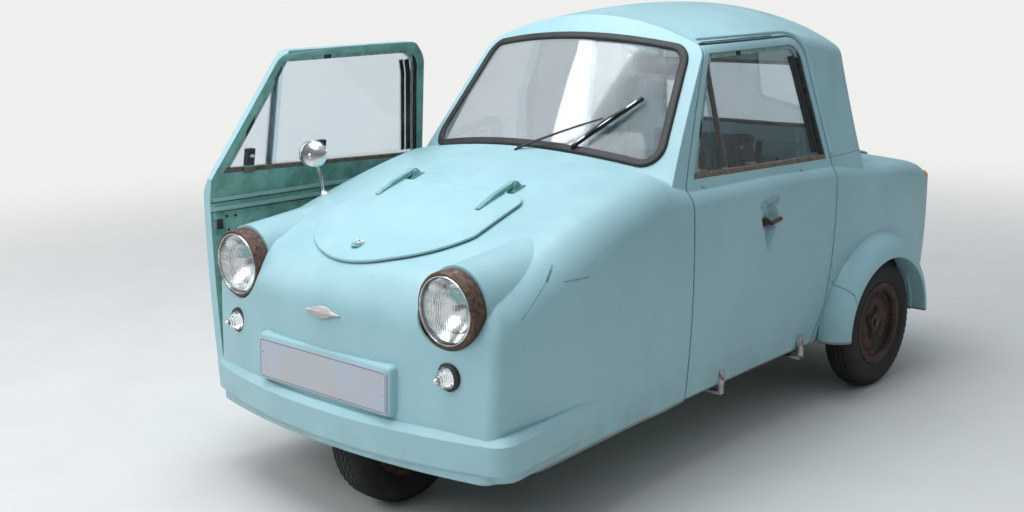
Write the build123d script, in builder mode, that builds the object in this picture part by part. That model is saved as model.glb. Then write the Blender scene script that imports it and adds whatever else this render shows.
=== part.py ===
"""Three wheeled car with a moulded body, one front wheel, a rear engine and sliding doors.

Millimetres. The front faces -Y, +X is the car's left side and +Z is up, with the floor at z = 0.
Every piece is modelled about the car's own centre plane. The right door stands open beside the
wing, so each piece is moved by one shift on export, which puts the origin below the middle of
the whole object.
"""
import math
import os
from collections import namedtuple

from build123d import *

# Shift of every piece on export, so that the open door is counted in the middle
SHIFT_X = 65.0
SHIFT_Y = -3.0

# Driving dimensions
GLASS_FIBRE = 8.0            # wall of the mouldings
CABIN_WALL = 34.0            # outer skin to inner trim beside the cabin
DOOR_THICK = 40.0
GAP = 6.0                    # joint gap around doors and lids
SILL_Z = 225.0
BELT_Z = 862.0

WHEEL_R = 230.0
TYRE_W = 112.0
FRONT_AXLE_Y = -984.0
REAR_AXLE_Y = 806.0
REAR_TRACK_HALF = 524.5

# Lower body sections: station, crown height, half width, shoulder radius, crown slope, sill half width
Section = namedtuple("Section", "y crown half radius slope sill")
NOSE_SECTIONS = [
    Section(-1320, 692, 572, 112, 6, 548),
    Section(-1113, 762, 584, 130, 6, 562),
    Section(-745, 884, 574, 125, 7, 546),
    Section(-440, 968, 561, 115, 10, 534),
]
CABIN_SECTIONS = [
    Section(-440, 968, 561, 115, 10, 534),
    Section(-300, 900, 557, 72, 6, 522),
    Section(120, 886, 557, 64, 5, 510),
    Section(500, 872, 557, 64, 5, 508),
    Section(790, 832, 557, 64, 5, 508),
]
TAIL_SECTIONS = [
    Section(790, 832, 557, 64, 5, 508),
    Section(960, 815, 556, 64, 5, 508),
    Section(1132, 790, 545, 70, 5, 505),
    Section(1262, 752, 525, 75, 5, 500),
]
SIDE_LEAN = 1.0

# Greenhouse sections in the same columns; sill is the half width at the belt
ROOF_SECTIONS = [
    Section(-620, 1290, 445, 60, 20, 545),
    Section(-97, 1352, 446, 60, 23, 545),
    Section(300, 1376, 446, 60, 26, 545),
    Section(600, 1354, 446, 62, 29, 545),
    Section(750, 1322, 444, 65, 31, 543),
]
ROOF_LEAN = 12.8
ROOF_FOOT = 800.0
ROOF_FRONT_Y = -94.0
REAR_WALL_Y = 750.0

# Nose face: a turned surface about an upright axis far behind, so that it bows across the car
NOSE_BOW = 2350.0
NOSE_Y = -1243.0
NOSE_BEND_Z = 600.0
NOSE_TILT = 4.0
NOSE_ARC = 180.0
NOSE_ARC_END = 64.0
NOSE_TURN = -25.0
NOSE_CORNER = 36.0

# Windscreen surface: bowed across the car and leaning back
SCREEN_BOW = 1300.0
SCREEN_BASE_Z = 923.0
SCREEN_BASE_Y = -457.0
SCREEN_LEAN = 0.83

# Door outline in side view
DOOR_SILL_FRONT = (-308, SILL_Z + 4)
DOOR_SILL_REAR = (425, SILL_Z + 4)
DOOR_SIDE = [(-312, 872), (-92, 1262)]
DOOR_BACK = [(496, 850), (500, 757), (495, 552), (487, 357)]
DOOR_TOP_Z = 1262.0
DOOR_TOP_REAR_Y = 430.0

# Open right door: moved from its closed place
DOOR_OUT = -178.0
DOOR_FORWARD = -793.0
DOOR_LIFT = 18.0
DOOR_TURN = -6.5
DOOR_LEAN = 2.3
DOOR_PIVOT = (-520.0, -308.0, 874.0)

# Lamps
HEADLAMP = (435.0, -1202.0, 679.0)
HEADLAMP_R = 100.0
SIDE_LAMP = (440.0, -1180.0, 509.0)
TAIL_LAMP = (478.0, 1262.0, 650.0)

# Steering
HEAD_LOW_Z = 492.0
HEAD_HIGH_Z = 572.0
STEM_R = 20.0
AXLE_R = 12.45
FORK_HALF = 86.0

# Bonnet lid
LID_REAR_Y = -745.0
LID_FRONT_Y = -1168.0
LID_HALF = 305.0
LID_PIVOT = (-700.0, 908.0)
LID_CLEAR = 5.0
LID_SKIN = 6.0
HINGE_X = 207.0
HINGE_SWEEP_R = 13.0         # the lid's knuckle turns inside this

# Engine lid
ENGINE_LID = (880.0, 1222.0, 300.0)

os.makedirs("parts", exist_ok=True)


def save(solid, name):
    """Move a finished piece by the shift and write it."""
    placed = Pos(SHIFT_X, SHIFT_Y, 0) * solid
    placed.label = name
    export_step(placed, "parts/" + name + ".step")


def cross_section(row, lean, inset, foot, bottom):
    """Closed outline of one station: side arcs, shoulder arcs and a crowned top.

    The side arcs end at the foot height, and run straight down from there to the bottom.
    """
    tilt = math.radians(lean)
    slope = math.radians(row.slope)
    radius = row.radius - inset
    side_x = row.half - inset
    centre_x = side_x - radius * math.cos(tilt)
    edge_x = centre_x + radius * math.sin(slope)
    edge_z = row.crown - inset - edge_x * math.tan(slope / 2)
    centre_z = edge_z - radius * math.cos(slope)
    side_z = centre_z + radius * math.sin(tilt)
    middle = (tilt + math.pi / 2 - slope) / 2
    middle_x = centre_x + radius * math.cos(middle)
    middle_z = centre_z + radius * math.sin(middle)
    sill_x = row.sill - inset
    with BuildLine() as line:
        if bottom < foot:
            Polyline((-sill_x, foot), (-sill_x, bottom), (sill_x, bottom), (sill_x, foot))
        else:
            Line((-sill_x, foot), (sill_x, foot))
        TangentArc((side_x, side_z), (sill_x, foot), tangent=(math.sin(tilt), -math.cos(tilt)))
        ThreePointArc((side_x, side_z), (middle_x, middle_z), (edge_x, edge_z))
        ThreePointArc((edge_x, edge_z), (0, row.crown - inset), (-edge_x, edge_z))
        ThreePointArc((-edge_x, edge_z), (-middle_x, middle_z), (-side_x, side_z))
        TangentArc((-side_x, side_z), (-sill_x, foot), tangent=(-math.sin(tilt), -math.cos(tilt)))
    return line


def tunnel(rows, lean, inset=0.0, foot=SILL_Z, bottom=None, straight=False):
    """Solid through the sections of one table."""
    with BuildPart() as solid:
        for row in rows:
            outline = cross_section(row, lean, inset, foot, foot if bottom is None else bottom)
            with BuildSketch(Plane.XZ.offset(-row.y)):
                add(outline.line)
                make_face()
        loft(ruled=straight)
    return solid.part


def nose_face(inset=0.0, bottom=SILL_Z):
    """Turned solid whose front is the bowed nose face."""
    low_y = NOSE_Y - (NOSE_BEND_Z - bottom) * math.tan(math.radians(NOSE_TILT)) + inset
    start = math.radians(NOSE_TILT)
    end = math.radians(NOSE_ARC_END)
    radius = NOSE_ARC - inset
    centre_y = NOSE_Y + inset + radius * math.cos(start)
    centre_z = NOSE_BEND_Z - radius * math.sin(start)
    middle = (start + end) / 2
    arc_middle = (centre_y - radius * math.cos(middle), centre_z + radius * math.sin(middle))
    arc_end = (centre_y - radius * math.cos(end), centre_z + radius * math.sin(end))
    reach = 700.0
    back_y = NOSE_Y + NOSE_BOW
    top = (arc_end[0] + reach * math.sin(end), arc_end[1] + reach * math.cos(end))
    with BuildPart() as solid:
        with BuildSketch(Plane.YZ):
            with BuildLine():
                Polyline((NOSE_Y + inset, NOSE_BEND_Z), (low_y, bottom), (back_y, bottom), (back_y, top[1]), top, arc_end)
                ThreePointArc((NOSE_Y + inset, NOSE_BEND_Z), arc_middle, arc_end)
            make_face()
        revolve(axis=Axis((0, back_y, 0), (0, 0, 1)), revolution_arc=50)
    return solid.part.rotate(Axis((0, back_y, 0), (0, 0, 1)), NOSE_TURN)


def headlamp_pod(side, inset=0.0):
    """Wing crest that runs forward into the lamp."""
    x = side * HEADLAMP[0]
    radius = HEADLAMP_R + 8 - inset
    with BuildPart() as solid:
        with BuildSketch(Plane.XZ.offset(1158 - inset)):
            with Locations((x, HEADLAMP[2])):
                Circle(radius)
        with BuildSketch(Plane.XZ.offset(1000)):
            with Locations((x, HEADLAMP[2] + 12)):
                Circle(radius + 2)
        with BuildSketch(Plane.XZ.offset(760)):
            with Locations((x - side * 8, HEADLAMP[2] + 40)):
                Circle(radius + 4)
        loft()
    return solid.part


def front_form(inset=0.0, bottom=SILL_Z):
    """Nose and wings as one closed form."""
    with BuildPart() as solid:
        add(tunnel(NOSE_SECTIONS, SIDE_LEAN, inset, SILL_Z, bottom))
        add(nose_face(inset, bottom - 1), mode=Mode.INTERSECT)
        corner = [edge for edge in solid.edges() if edge.center().Y < -1000 and edge.center().Z > bottom + 30]
        fillet([edge for edge in corner if abs(edge.center().X) > 470], NOSE_CORNER - inset)
        for side in (-1, 1):
            add(headlamp_pod(side, inset))
    return solid.part


def screen_region(forward=0.0):
    """Everything behind the bowed and leaning windscreen surface."""
    with BuildPart() as solid:
        for height in (700.0, 1500.0):
            middle_y = SCREEN_BASE_Y + (height - SCREEN_BASE_Z) * SCREEN_LEAN - forward
            half = 640.0
            drop = SCREEN_BOW - math.sqrt(SCREEN_BOW**2 - half**2)
            with BuildSketch(Plane.XY.offset(height)):
                with BuildLine():
                    ThreePointArc((-half, middle_y + drop), (0, middle_y), (half, middle_y + drop))
                    Polyline((half, middle_y + drop), (half, 1200), (-half, 1200), (-half, middle_y + drop))
                make_face()
        loft(ruled=True)
    return solid.part


def greenhouse(inset=0.0, bottom=ROOF_FOOT):
    """Cabin above the belt, with a rounded tail and the windscreen surface in front."""
    with BuildPart() as solid:
        rows = [row._replace(y=row.y - inset if row.y == REAR_WALL_Y else row.y) for row in ROOF_SECTIONS]
        add(tunnel(rows, ROOF_LEAN, inset, ROOF_FOOT, bottom))
        if not inset:
            tail = solid.faces().sort_by(Axis.Y)[-1]
            fillet([edge for edge in tail.edges() if edge.center().Z > bottom + 20], 62)
        add(screen_region(-inset), mode=Mode.INTERSECT)
    return solid.part


def side_prism(margin, low_x, high_x):
    """Door outline grown by a margin, as a prism across one side."""
    with BuildPart() as solid:
        with BuildSketch(Plane.YZ.offset(low_x)):
            with BuildLine():
                Polyline(DOOR_SILL_REAR, DOOR_SILL_FRONT, *DOOR_SIDE, (DOOR_TOP_REAR_Y - 62, DOOR_TOP_Z))
                RadiusArc((DOOR_TOP_REAR_Y - 62, DOOR_TOP_Z), (DOOR_TOP_REAR_Y + 24, DOOR_TOP_Z - 88), 92)
                Polyline((DOOR_TOP_REAR_Y + 24, DOOR_TOP_Z - 88), *DOOR_BACK, DOOR_SILL_REAR)
            make_face()
            if margin:
                offset(amount=margin, kind=Kind.INTERSECTION)
        extrude(amount=high_x - low_x)
    return solid.part


def window_prism(margin, low_x, high_x):
    """Side window outline, shrunk by a margin."""
    with BuildPart() as solid:
        with BuildSketch(Plane.YZ.offset(low_x)):
            with BuildLine():
                Polyline((474, 860), (-272, 890), (-82, 1238), (DOOR_TOP_REAR_Y - 70, 1238))
                RadiusArc((DOOR_TOP_REAR_Y - 70, 1238), (DOOR_TOP_REAR_Y, 1160), 74)
                Line((DOOR_TOP_REAR_Y, 1160), (474, 860))
            make_face()
            if margin:
                offset(amount=-margin, kind=Kind.INTERSECTION)
        extrude(amount=high_x - low_x)
    return solid.part


def screen_outline(margin):
    """Windscreen outline seen from the front, as a prism that stops short of the roof."""
    with BuildPart() as solid:
        with BuildSketch(Plane.XZ.offset(100)):
            with BuildLine():
                ThreePointArc((-478, 916), (0, 962), (478, 916))
                Line((478, 916), (402, 1262))
                ThreePointArc((402, 1262), (0, 1300), (-402, 1262))
                Line((-402, 1262), (-478, 916))
            face = make_face()
            fillet(face.vertices(), 62)
            offset(amount=-margin)
        extrude(amount=700)
    return solid.part


def bumper():
    """Moulded bumper that wraps the nose and fades out before the door gap."""
    with BuildPart() as solid:
        for height, grow in ((244, -22), (262, -12), (275, 0), (352, 2), (369, -16)):
            half = 612 + grow
            front = -1286 - grow
            with BuildSketch(Plane.XY.offset(height)):
                with BuildLine():
                    ThreePointArc((-half + 44, front + 84), (0, front), (half - 44, front + 84))
                    ThreePointArc((half - 44, front + 84), (half - 12, front + 108), (half, front + 150))
                    Polyline((half, front + 150), (half - 12, -1000), (556, -720), (500, -440),
                             (-500, -440), (-556, -720), (-half + 12, -1000), (-half, front + 150))
                    ThreePointArc((-half, front + 150), (-half + 12, front + 108), (-half + 44, front + 84))
                make_face()
        loft(ruled=True)
    return solid.part


FLARE_RINGS = [(520, 336, 336), (572, 326, 320), (600, 306, 292), (613, 288, 262)]
FLARE_BACK_X = 590.0


def arch_flare(side, inset=0.0):
    """Bulge around a rear wheel, broad at the body side and drawn in at the lip."""
    with BuildPart() as solid:
        for x, reach, height in FLARE_RINGS:
            with BuildSketch(Plane.YZ.offset(side * (x - inset))):
                with Locations((REAR_AXLE_Y, 230)):
                    Ellipse(reach - inset, height - inset)
        loft()
        with BuildSketch(Plane.XY.offset(-200)):
            with Locations((0, REAR_AXLE_Y)):
                Rectangle(1600, 1600)
        extrude(amount=200 + SILL_Z, mode=Mode.SUBTRACT)
    return solid.part


def wheel_arch(side):
    """Space for a rear wheel, open to the side and below."""
    with BuildPart() as solid:
        with BuildSketch(Plane.YZ.offset(side * 430)):
            with Locations((REAR_AXLE_Y, 230)):
                Circle(263)
        extrude(amount=side * (FLARE_BACK_X - 430))
        with BuildSketch(Plane.YZ.offset(side * 560)):
            with Locations((REAR_AXLE_Y, 230)):
                Ellipse(274, 242)
        extrude(amount=side * 100)
    return solid.part


def box(low, high):
    """Box between two corners."""
    size = [high[i] - low[i] for i in range(3)]
    with BuildPart() as solid:
        with Locations(tuple((low[i] + high[i]) / 2 for i in range(3))):
            Box(*size)
    return solid.part


def pipe(points, radius, bend=40.0, inner=0.0):
    """Round tube along straight runs with bends."""
    with BuildPart() as solid:
        with BuildLine() as path:
            if len(points) > 2:
                FilletPolyline(*points, radius=bend)
            else:
                Line(*points)
        with BuildSketch(Plane(origin=points[0], z_dir=path.line % 0)):
            Circle(radius)
            if inner:
                Circle(inner, mode=Mode.SUBTRACT)
        sweep()
    return solid.part


def turned(profile, origin, direction, side=(0, 0, 1)):
    """Turn a profile of (along, radius) points about a line through the origin."""
    along = Vector(*direction).normalized()
    across = Vector(*side)
    across = (across - along * across.dot(along)).normalized()
    with BuildPart() as solid:
        with BuildSketch(Plane(origin=origin, x_dir=along, z_dir=along.cross(across))):
            with BuildLine():
                Polyline(*profile, close=True)
            make_face()
        revolve(axis=Axis(origin, direction))
    return solid.part


def tail_bumper():
    """Small moulded lip that flicks out along the lower tail."""
    with BuildPart() as solid:
        for height, grow in ((SILL_Z, -52), (262, -18), (290, 0), (304, 0), (332, -30)):
            half = 524 + grow
            back = 1300 + grow
            with BuildSketch(Plane.XY.offset(height)):
                Polygon((-half, 1180), (half, 1180), (half, back - 56), (half - 50, back - 6), (-half + 50, back - 6),
                        (-half, back - 56), align=None)
        loft(ruled=True)
    return solid.part


def plate(points, plane, depth, corner=0.0):
    """Flat plate from its outline."""
    with BuildPart() as solid:
        with BuildSketch(plane):
            face = Polygon(*points, align=None)
            if corner:
                fillet(face.vertices(), corner)
        extrude(amount=depth)
    return solid.part


def lid_prism(margin=0.0):
    """Outline of the bonnet lid from above: straight behind and round in front."""
    with BuildPart() as solid:
        with BuildSketch(Plane.XY.offset(560)):
            with BuildLine():
                Polyline((LID_HALF, -960), (LID_HALF - 4, LID_REAR_Y), (-LID_HALF + 4, LID_REAR_Y), (-LID_HALF, -960))
                ThreePointArc((-LID_HALF, -960), (0, LID_FRONT_Y), (LID_HALF, -960))
            face = make_face()
            fillet(face.vertices().sort_by(Axis.Y)[-2:], 42)
            if margin:
                offset(amount=-margin)
        extrude(amount=480)
    return solid.part


def engine_prism(margin=0.0):
    """Outline of the engine lid from above."""
    front, back, half = ENGINE_LID
    with BuildPart() as solid:
        with BuildSketch(Plane.XY.offset(560)):
            with Locations((0, (front + back) / 2)):
                RectangleRounded(2 * (half - margin), back - front - 2 * margin, 40)
        extrude(amount=400)
    return solid.part


def rear_window_prism(margin, low_y, high_y):
    """Rear window outline as a prism through the rear wall."""
    with BuildPart() as solid:
        with BuildSketch(Plane.XZ.offset(-high_y)):
            with Locations((0, 1035)):
                RectangleRounded(2 * (350 - margin), 2 * (128 - margin), 56 - margin)
        extrude(amount=high_y - low_y)
    return solid.part


# Closed forms that the mouldings are cut from
nose_outer = front_form()
nose_inner = front_form(GLASS_FIBRE, 150)
cabin_outer = tunnel(CABIN_SECTIONS, SIDE_LEAN, straight=True)
cabin_inner = tunnel(CABIN_SECTIONS, SIDE_LEAN, CABIN_WALL, SILL_Z, 150, straight=True)
tail_outer = tunnel(TAIL_SECTIONS, SIDE_LEAN)
TAIL_CORNER = 58.0
with BuildPart() as tail_inner:
    add(tunnel(TAIL_SECTIONS, SIDE_LEAN, GLASS_FIBRE, SILL_Z, 150))
    add(plate([(-700, 700), (700, 700), (700, 1000), (460, 1252), (-460, 1252), (-700, 1000)], Plane.XY.offset(100), 900),
        mode=Mode.INTERSECT)
    add(plate([(700, 100), (1252, 100), (1252, 650), (1165, 742), (1060, 900), (700, 900)], Plane.YZ.offset(-700), 1400),
        mode=Mode.INTERSECT)
top_outer = greenhouse()
top_inner = greenhouse(22, 700)

with BuildPart() as tail_form:
    add(tail_outer)
    tail_face = tail_form.faces().sort_by(Axis.Y)[-1]
    fillet([edge for edge in tail_face.edges() if edge.center().Z > SILL_Z + 20], TAIL_CORNER)

with BuildPart() as shell:
    add(nose_outer)
    add(cabin_outer)
    add(tail_form.part)
    add(top_outer)
    add(bumper())
    add(plate([(-1400, 100), (-1400, 250), (-1150, 245), (-1000, SILL_Z), (-1000, 100)], Plane.YZ.offset(-700), 1400),
        mode=Mode.SUBTRACT)
    add(tail_bumper())
    for side in (-1, 1):
        add(arch_flare(side))
    add(nose_inner, mode=Mode.SUBTRACT)
    add(cabin_inner, mode=Mode.SUBTRACT)
    add(tail_inner.part, mode=Mode.SUBTRACT)
    add(top_inner, mode=Mode.SUBTRACT)
    for side in (-1, 1):
        add(side_prism(GAP, side * 380, side * 720), mode=Mode.SUBTRACT)
        add(wheel_arch(side), mode=Mode.SUBTRACT)
    add(screen_outline(12), mode=Mode.SUBTRACT)
    add(rear_window_prism(10, 700, 830), mode=Mode.SUBTRACT)
    for side in (-1, 1):
        with Locations(Location((side * HEADLAMP[0], HEADLAMP[1] - 2, HEADLAMP[2]), (90, 0, 0))):
            Cylinder(HEADLAMP_R + 2, 90, mode=Mode.SUBTRACT)
    add(lid_prism(22), mode=Mode.SUBTRACT)
    add(engine_prism(18), mode=Mode.SUBTRACT)

front_space = box((-800, -1400, 100), (800, ROOF_FRONT_Y, 1500))
upper_space = box((-800, ROOF_FRONT_Y, BELT_Z), (800, 1400, 1500))
lower_space = box((-800, ROOF_FRONT_Y, 100), (800, 1400, BELT_Z))

with BuildPart() as body_front:
    add(shell.part & front_space)
save(body_front.part, "body_front")

with BuildPart() as roof:
    add(shell.part & upper_space)
save(roof.part, "roof")

with BuildPart() as body_rear:
    add(shell.part & lower_space)
save(body_rear.part, "body_rear")


def ring_slab(outer, inner, outline, hole=None):
    """Slice between two forms, cut to an outline and with its middle taken out."""
    with BuildPart() as solid:
        add(outer)
        add(inner, mode=Mode.SUBTRACT)
        add(outline, mode=Mode.INTERSECT)
        if hole:
            add(hole, mode=Mode.SUBTRACT)
    return solid.part


# Windscreen and rear window with their rubbers
seal_skin = screen_region(6.0)
screen_face = screen_region(0.6)
with BuildPart() as windscreen_seal:
    add(ring_slab(seal_skin, screen_face, screen_outline(0), screen_outline(25)))
    add(nose_outer, mode=Mode.SUBTRACT)
    add(cabin_outer, mode=Mode.SUBTRACT)

with BuildPart() as windscreen:
    add(ring_slab(screen_face, screen_region(-5.0), screen_outline(13)))

wall_y = REAR_WALL_Y
with BuildPart() as rear_window_seal:
    add(ring_slab(rear_window_prism(0, wall_y + 0.3, wall_y + 6), rear_window_prism(22, 700, 830), rear_window_prism(0, 700, 830)))
save(Compound(children=[*windscreen_seal.part.solids(), *rear_window_seal.part.solids()]), "window_seals")

with BuildPart() as rear_window:
    add(rear_window_prism(11, wall_y - 5, wall_y))
save(Compound(children=[*windscreen.part.solids(), *rear_window.part.solids()]), "windows")

# Lids: skins that lie just above the mouldings
lid_top = front_form(-LID_CLEAR - LID_SKIN)
lid_under = front_form(-LID_CLEAR)
with BuildPart() as bonnet_lid:
    add(ring_slab(lid_top, lid_under, lid_prism()))
    for side in (-1, 1):
        with BuildSketch(Plane.YZ.offset(side * HINGE_X - 8)):
            Polygon((-852, 858), (-786, 889), (-700, 917), (-691, 915), (-691, 901), (-700, 899), (-742, 892), (-800, 870),
                    align=None)
        extrude(amount=16)
        with Locations(Location((side * HINGE_X, *LID_PIVOT), (0, 90, 0))):
            Cylinder(8, 16)
            Cylinder(4.05, 16, mode=Mode.SUBTRACT)
    with Locations(Location((0, -1113, 776), (-18, 0, 0))):
        Cylinder(15, 12)
save(bonnet_lid.part, "bonnet_lid")

with BuildPart() as bonnet_hinges:
    for side in (-1, 1):
        for ear in (-1, 1):
            x = side * HINGE_X + ear * 12
            with BuildSketch(Plane.YZ.offset(x - 2.5)):
                Polygon((-722, 870), (-712, 908), (-706, 914), (-694, 914), (-688, 908), (-672, 880), align=None)
            extrude(amount=5)
    add(lid_under, mode=Mode.SUBTRACT)
    for side in (-1, 1):
        foot = box((side * HINGE_X - 20, -722, 870), (side * HINGE_X + 20, -672, 902))
        add(foot & ring_slab(lid_under, nose_outer, box((-300, -722, 800), (300, -672, 930))))
        with Locations(Location((side * HINGE_X, *LID_PIVOT), (0, 90, 0))):
            Cylinder(HINGE_SWEEP_R, 19, mode=Mode.SUBTRACT)
            Cylinder(4, 29)

with BuildPart() as front_tray:
    add(nose_inner)
    add(lid_prism(4), mode=Mode.INTERSECT)
    add(lid_prism(9) & box((-500, -1300, 598), (500, -600, 1000)), mode=Mode.SUBTRACT)
    add(box((-700, -1400, 100), (700, -500, 592)), mode=Mode.SUBTRACT)
save(front_tray.part, "front_tray")

lid_high = tunnel(TAIL_SECTIONS, SIDE_LEAN, -LID_CLEAR - LID_SKIN)
lid_low = tunnel(TAIL_SECTIONS, SIDE_LEAN, -LID_CLEAR)
ENGINE_PIVOT = (ENGINE_LID[0] - 14, 840.0)
with BuildPart() as engine_lid:
    add(ring_slab(lid_high, lid_low, engine_prism()))
    with BuildSketch(Plane.XY.offset(700)):
        for row in (-1, 1):
            with Locations((row * 130, 1075)):
                with GridLocations(1, 26, 1, 8):
                    SlotOverall(190, 9)
    extrude(amount=200, mode=Mode.SUBTRACT)
    for side in (-1, 1):
        with BuildSketch(Plane.YZ.offset(side * HINGE_X - 8)):
            Polygon((ENGINE_PIVOT[0], 834), (ENGINE_PIVOT[0], 846), (905, 842), (905, 826), (886, 826), align=None)
        extrude(amount=16)
        with Locations(Location((side * HINGE_X, *ENGINE_PIVOT), (0, 90, 0))):
            Cylinder(7, 16)
            Cylinder(4.05, 16, mode=Mode.SUBTRACT)
save(engine_lid.part, "engine_lid")

with BuildPart() as engine_hinges:
    for side in (-1, 1):
        for ear in (-1, 1):
            with BuildSketch(Plane.YZ.offset(side * HINGE_X + ear * 12 - 2.5)):
                Polygon((848, 808), (858, 844), (870, 848), (874, 840), (876, 808), align=None)
            extrude(amount=5)
        with Locations(Location((side * HINGE_X, *ENGINE_PIVOT), (0, 90, 0))):
            Cylinder(4, 29)
    add(tail_outer, mode=Mode.SUBTRACT)
save(Compound(children=[*bonnet_hinges.part.solids(), *engine_hinges.part.solids()]), "lid_hinges")

# Floor, bulkheads and sills
FLOOR_HALF = 468.0
with BuildPart() as floor_pan:
    add(box((-FLOOR_HALF, -640, 262), (FLOOR_HALF, 500, 270)))
    add(box((-370, 500, 262), (370, 778, 270)))
    add(tunnel(NOSE_SECTIONS, SIDE_LEAN, GLASS_FIBRE + 2) & box((-700, -640, 262), (700, -440, 270)))
    for side in (-1, 1):
        add(box((min(side * 420, side * FLOOR_HALF), -640, 212), (max(side * 420, side * FLOOR_HALF), 500, 262)))
    add(tunnel(NOSE_SECTIONS, SIDE_LEAN, GLASS_FIBRE + 2) & box((-700, -648, 262), (700, -640, 1000)))
    add(tunnel(CABIN_SECTIONS, SIDE_LEAN, CABIN_WALL + 2, straight=True) & box((-370, 770, 262), (370, 778, 880)))
save(floor_pan.part, "floor_pan")

with BuildPart() as wheel_wells:
    for side in (-1, 1):
        with BuildSketch(Plane.YZ.offset(side * 372)):
            with Locations((REAR_AXLE_Y, 230)):
                Circle(271)
        extrude(amount=side * 168)
        with BuildSketch(Plane.YZ.offset(side * 379)):
            with Locations((REAR_AXLE_Y, 230)):
                Circle(264)
        extrude(amount=side * 220, mode=Mode.SUBTRACT)
    add(box((-700, 400, -100), (700, 1200, 300)), mode=Mode.SUBTRACT)
    add(body_rear.part, mode=Mode.SUBTRACT)
save(Compound(children=wheel_wells.solids().sort_by(SortBy.VOLUME)[-2:]), "wheel_wells")

# Chassis of round tubes with the steering head
TUBE_Z = 234.0
with BuildPart() as chassis:
    for side in (-1, 1):
        add(pipe([(side * 250, 1190, TUBE_Z), (side * 250, -700, TUBE_Z)], 19))
        add(pipe([(side * 250, -690, TUBE_Z - 8), (side * 150, -716, 532), (side * 20, -975, 532)], 17, 50))
        add(pipe([(side * 252, 800, TUBE_Z + 4), (side * 402, 800, 276), (side * 402, 800, 462)], 12, 30))
    for y in (-560, 480, 1170):
        reach = 330 if y == 480 else 250
        add(pipe([(-reach, y, TUBE_Z), (reach, y, TUBE_Z)], 22 if y == 480 else 17))
    with Locations((0, FRONT_AXLE_Y, (HEAD_LOW_Z + HEAD_HIGH_Z) / 2)):
        Cylinder(34, HEAD_HIGH_Z - HEAD_LOW_Z)
        Cylinder(STEM_R + 0.05, HEAD_HIGH_Z - HEAD_LOW_Z, mode=Mode.SUBTRACT)
save(chassis.part, "chassis")

with BuildPart() as towing_eye:
    with BuildSketch(Plane.XZ.offset(560 + 10)):
        with Locations((0, TUBE_Z - 34)):
            Circle(26)
            Circle(14, mode=Mode.SUBTRACT)
    extrude(amount=12)
    add(pipe([(-250, -560, TUBE_Z), (250, -560, TUBE_Z)], 17), mode=Mode.SUBTRACT)
save(towing_eye.part, "towing_eye")

# Steering fork that turns about the upright stem
with BuildPart() as steering_fork:
    with Locations((0, FRONT_AXLE_Y, 478)):
        Box(2 * FORK_HALF + 26, 54, 14)
    fillet(steering_fork.edges().filter_by(Axis.Z), 20)
    with Locations((0, FRONT_AXLE_Y, 531)):
        Cylinder(STEM_R, 96)
    with Locations((0, FRONT_AXLE_Y, 580)):
        Cylinder(27, 14)
    for side in (-1, 1):
        with BuildSketch(Plane.YZ.offset(side * FORK_HALF - 7)):
            with BuildLine():
                Polyline((FRONT_AXLE_Y - 27, 478), (FRONT_AXLE_Y + 27, 478), (FRONT_AXLE_Y + 18, 230))
                ThreePointArc((FRONT_AXLE_Y + 18, 230), (FRONT_AXLE_Y, 212), (FRONT_AXLE_Y - 18, 230))
                Line((FRONT_AXLE_Y - 18, 230), (FRONT_AXLE_Y - 27, 478))
            make_face()
        extrude(amount=14)
    with Locations(Location((0, FRONT_AXLE_Y, WHEEL_R), (0, 90, 0))):
        Cylinder(AXLE_R, 2 * FORK_HALF + 30)
    for side in (-1, 1):
        with Locations(Location((side * (FORK_HALF + 11), FRONT_AXLE_Y, WHEEL_R), (0, 90, 0))):
            Cylinder(16, 8)
save(steering_fork.part, "steering_fork")

# Wheels: pressed rim with hub and brake drum, and a round shouldered tyre
RIM_PROFILE = [
    (-48, 147), (-44, 147), (-44, 131), (-36, 127), (-14, 126), (-8, 112), (14, 112), (20, 126), (36, 127), (44, 131),
    (44, 147), (48, 147), (48, 129), (39, 122), (24, 121), (18, 107), (26, 92), (30, 78), (22, 52), (22, 34), (34, 32),
    (34, 12.5), (-50, 12.5), (-50, 92), (2, 92), (8, 56), (17, 56), (25, 78), (21, 90), (12, 106), (-12, 106), (-18, 121),
    (-39, 122), (-48, 129),
]


def rim(x, y, outward):
    """Rim turned about the wheel's axle, its dished side outward."""
    return turned(RIM_PROFILE, (x, y, WHEEL_R), (outward, 0, 0))


TYRE_PROFILE = [
    (-43.5, 131.6), (-43.5, 147.6), (-TYRE_W / 2, 180), (-52, 212), (-33, WHEEL_R), (33, WHEEL_R), (52, 212),
    (TYRE_W / 2, 180), (43.5, 147.6), (43.5, 131.6),
]


def tyre(x, y):
    """Tyre turned about the axle."""
    return turned(TYRE_PROFILE, (x, y, WHEEL_R), (1, 0, 0))


WHEELS = [("front", 0, FRONT_AXLE_Y, 1), ("rear_left", REAR_TRACK_HALF, REAR_AXLE_Y, 1), ("rear_right", -REAR_TRACK_HALF, REAR_AXLE_Y, -1)]
for name, x, y, outward in WHEELS:
    save(rim(x, y, outward), "rim_" + name)
    save(tyre(x, y), "tyre_" + name)

# Trailing arms with their stub axles, and the dampers above them
with BuildPart() as rear_arms:
    for side in (-1, 1):
        with Locations(Location((side * 352, 480, TUBE_Z), (0, 90, 0))):
            Cylinder(27, 42)
        add(pipe([(side * 352, 480, TUBE_Z), (side * 440, REAR_AXLE_Y, WHEEL_R)], 18))
        with Locations(Location((side * 450, REAR_AXLE_Y, WHEEL_R), (0, 90, 0))):
            Cylinder(30, 40)
        with Locations(Location((side * 510, REAR_AXLE_Y, WHEEL_R), (0, 90, 0))):
            Cylinder(AXLE_R, 110)
save(rear_arms.part, "rear_arms")

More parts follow.
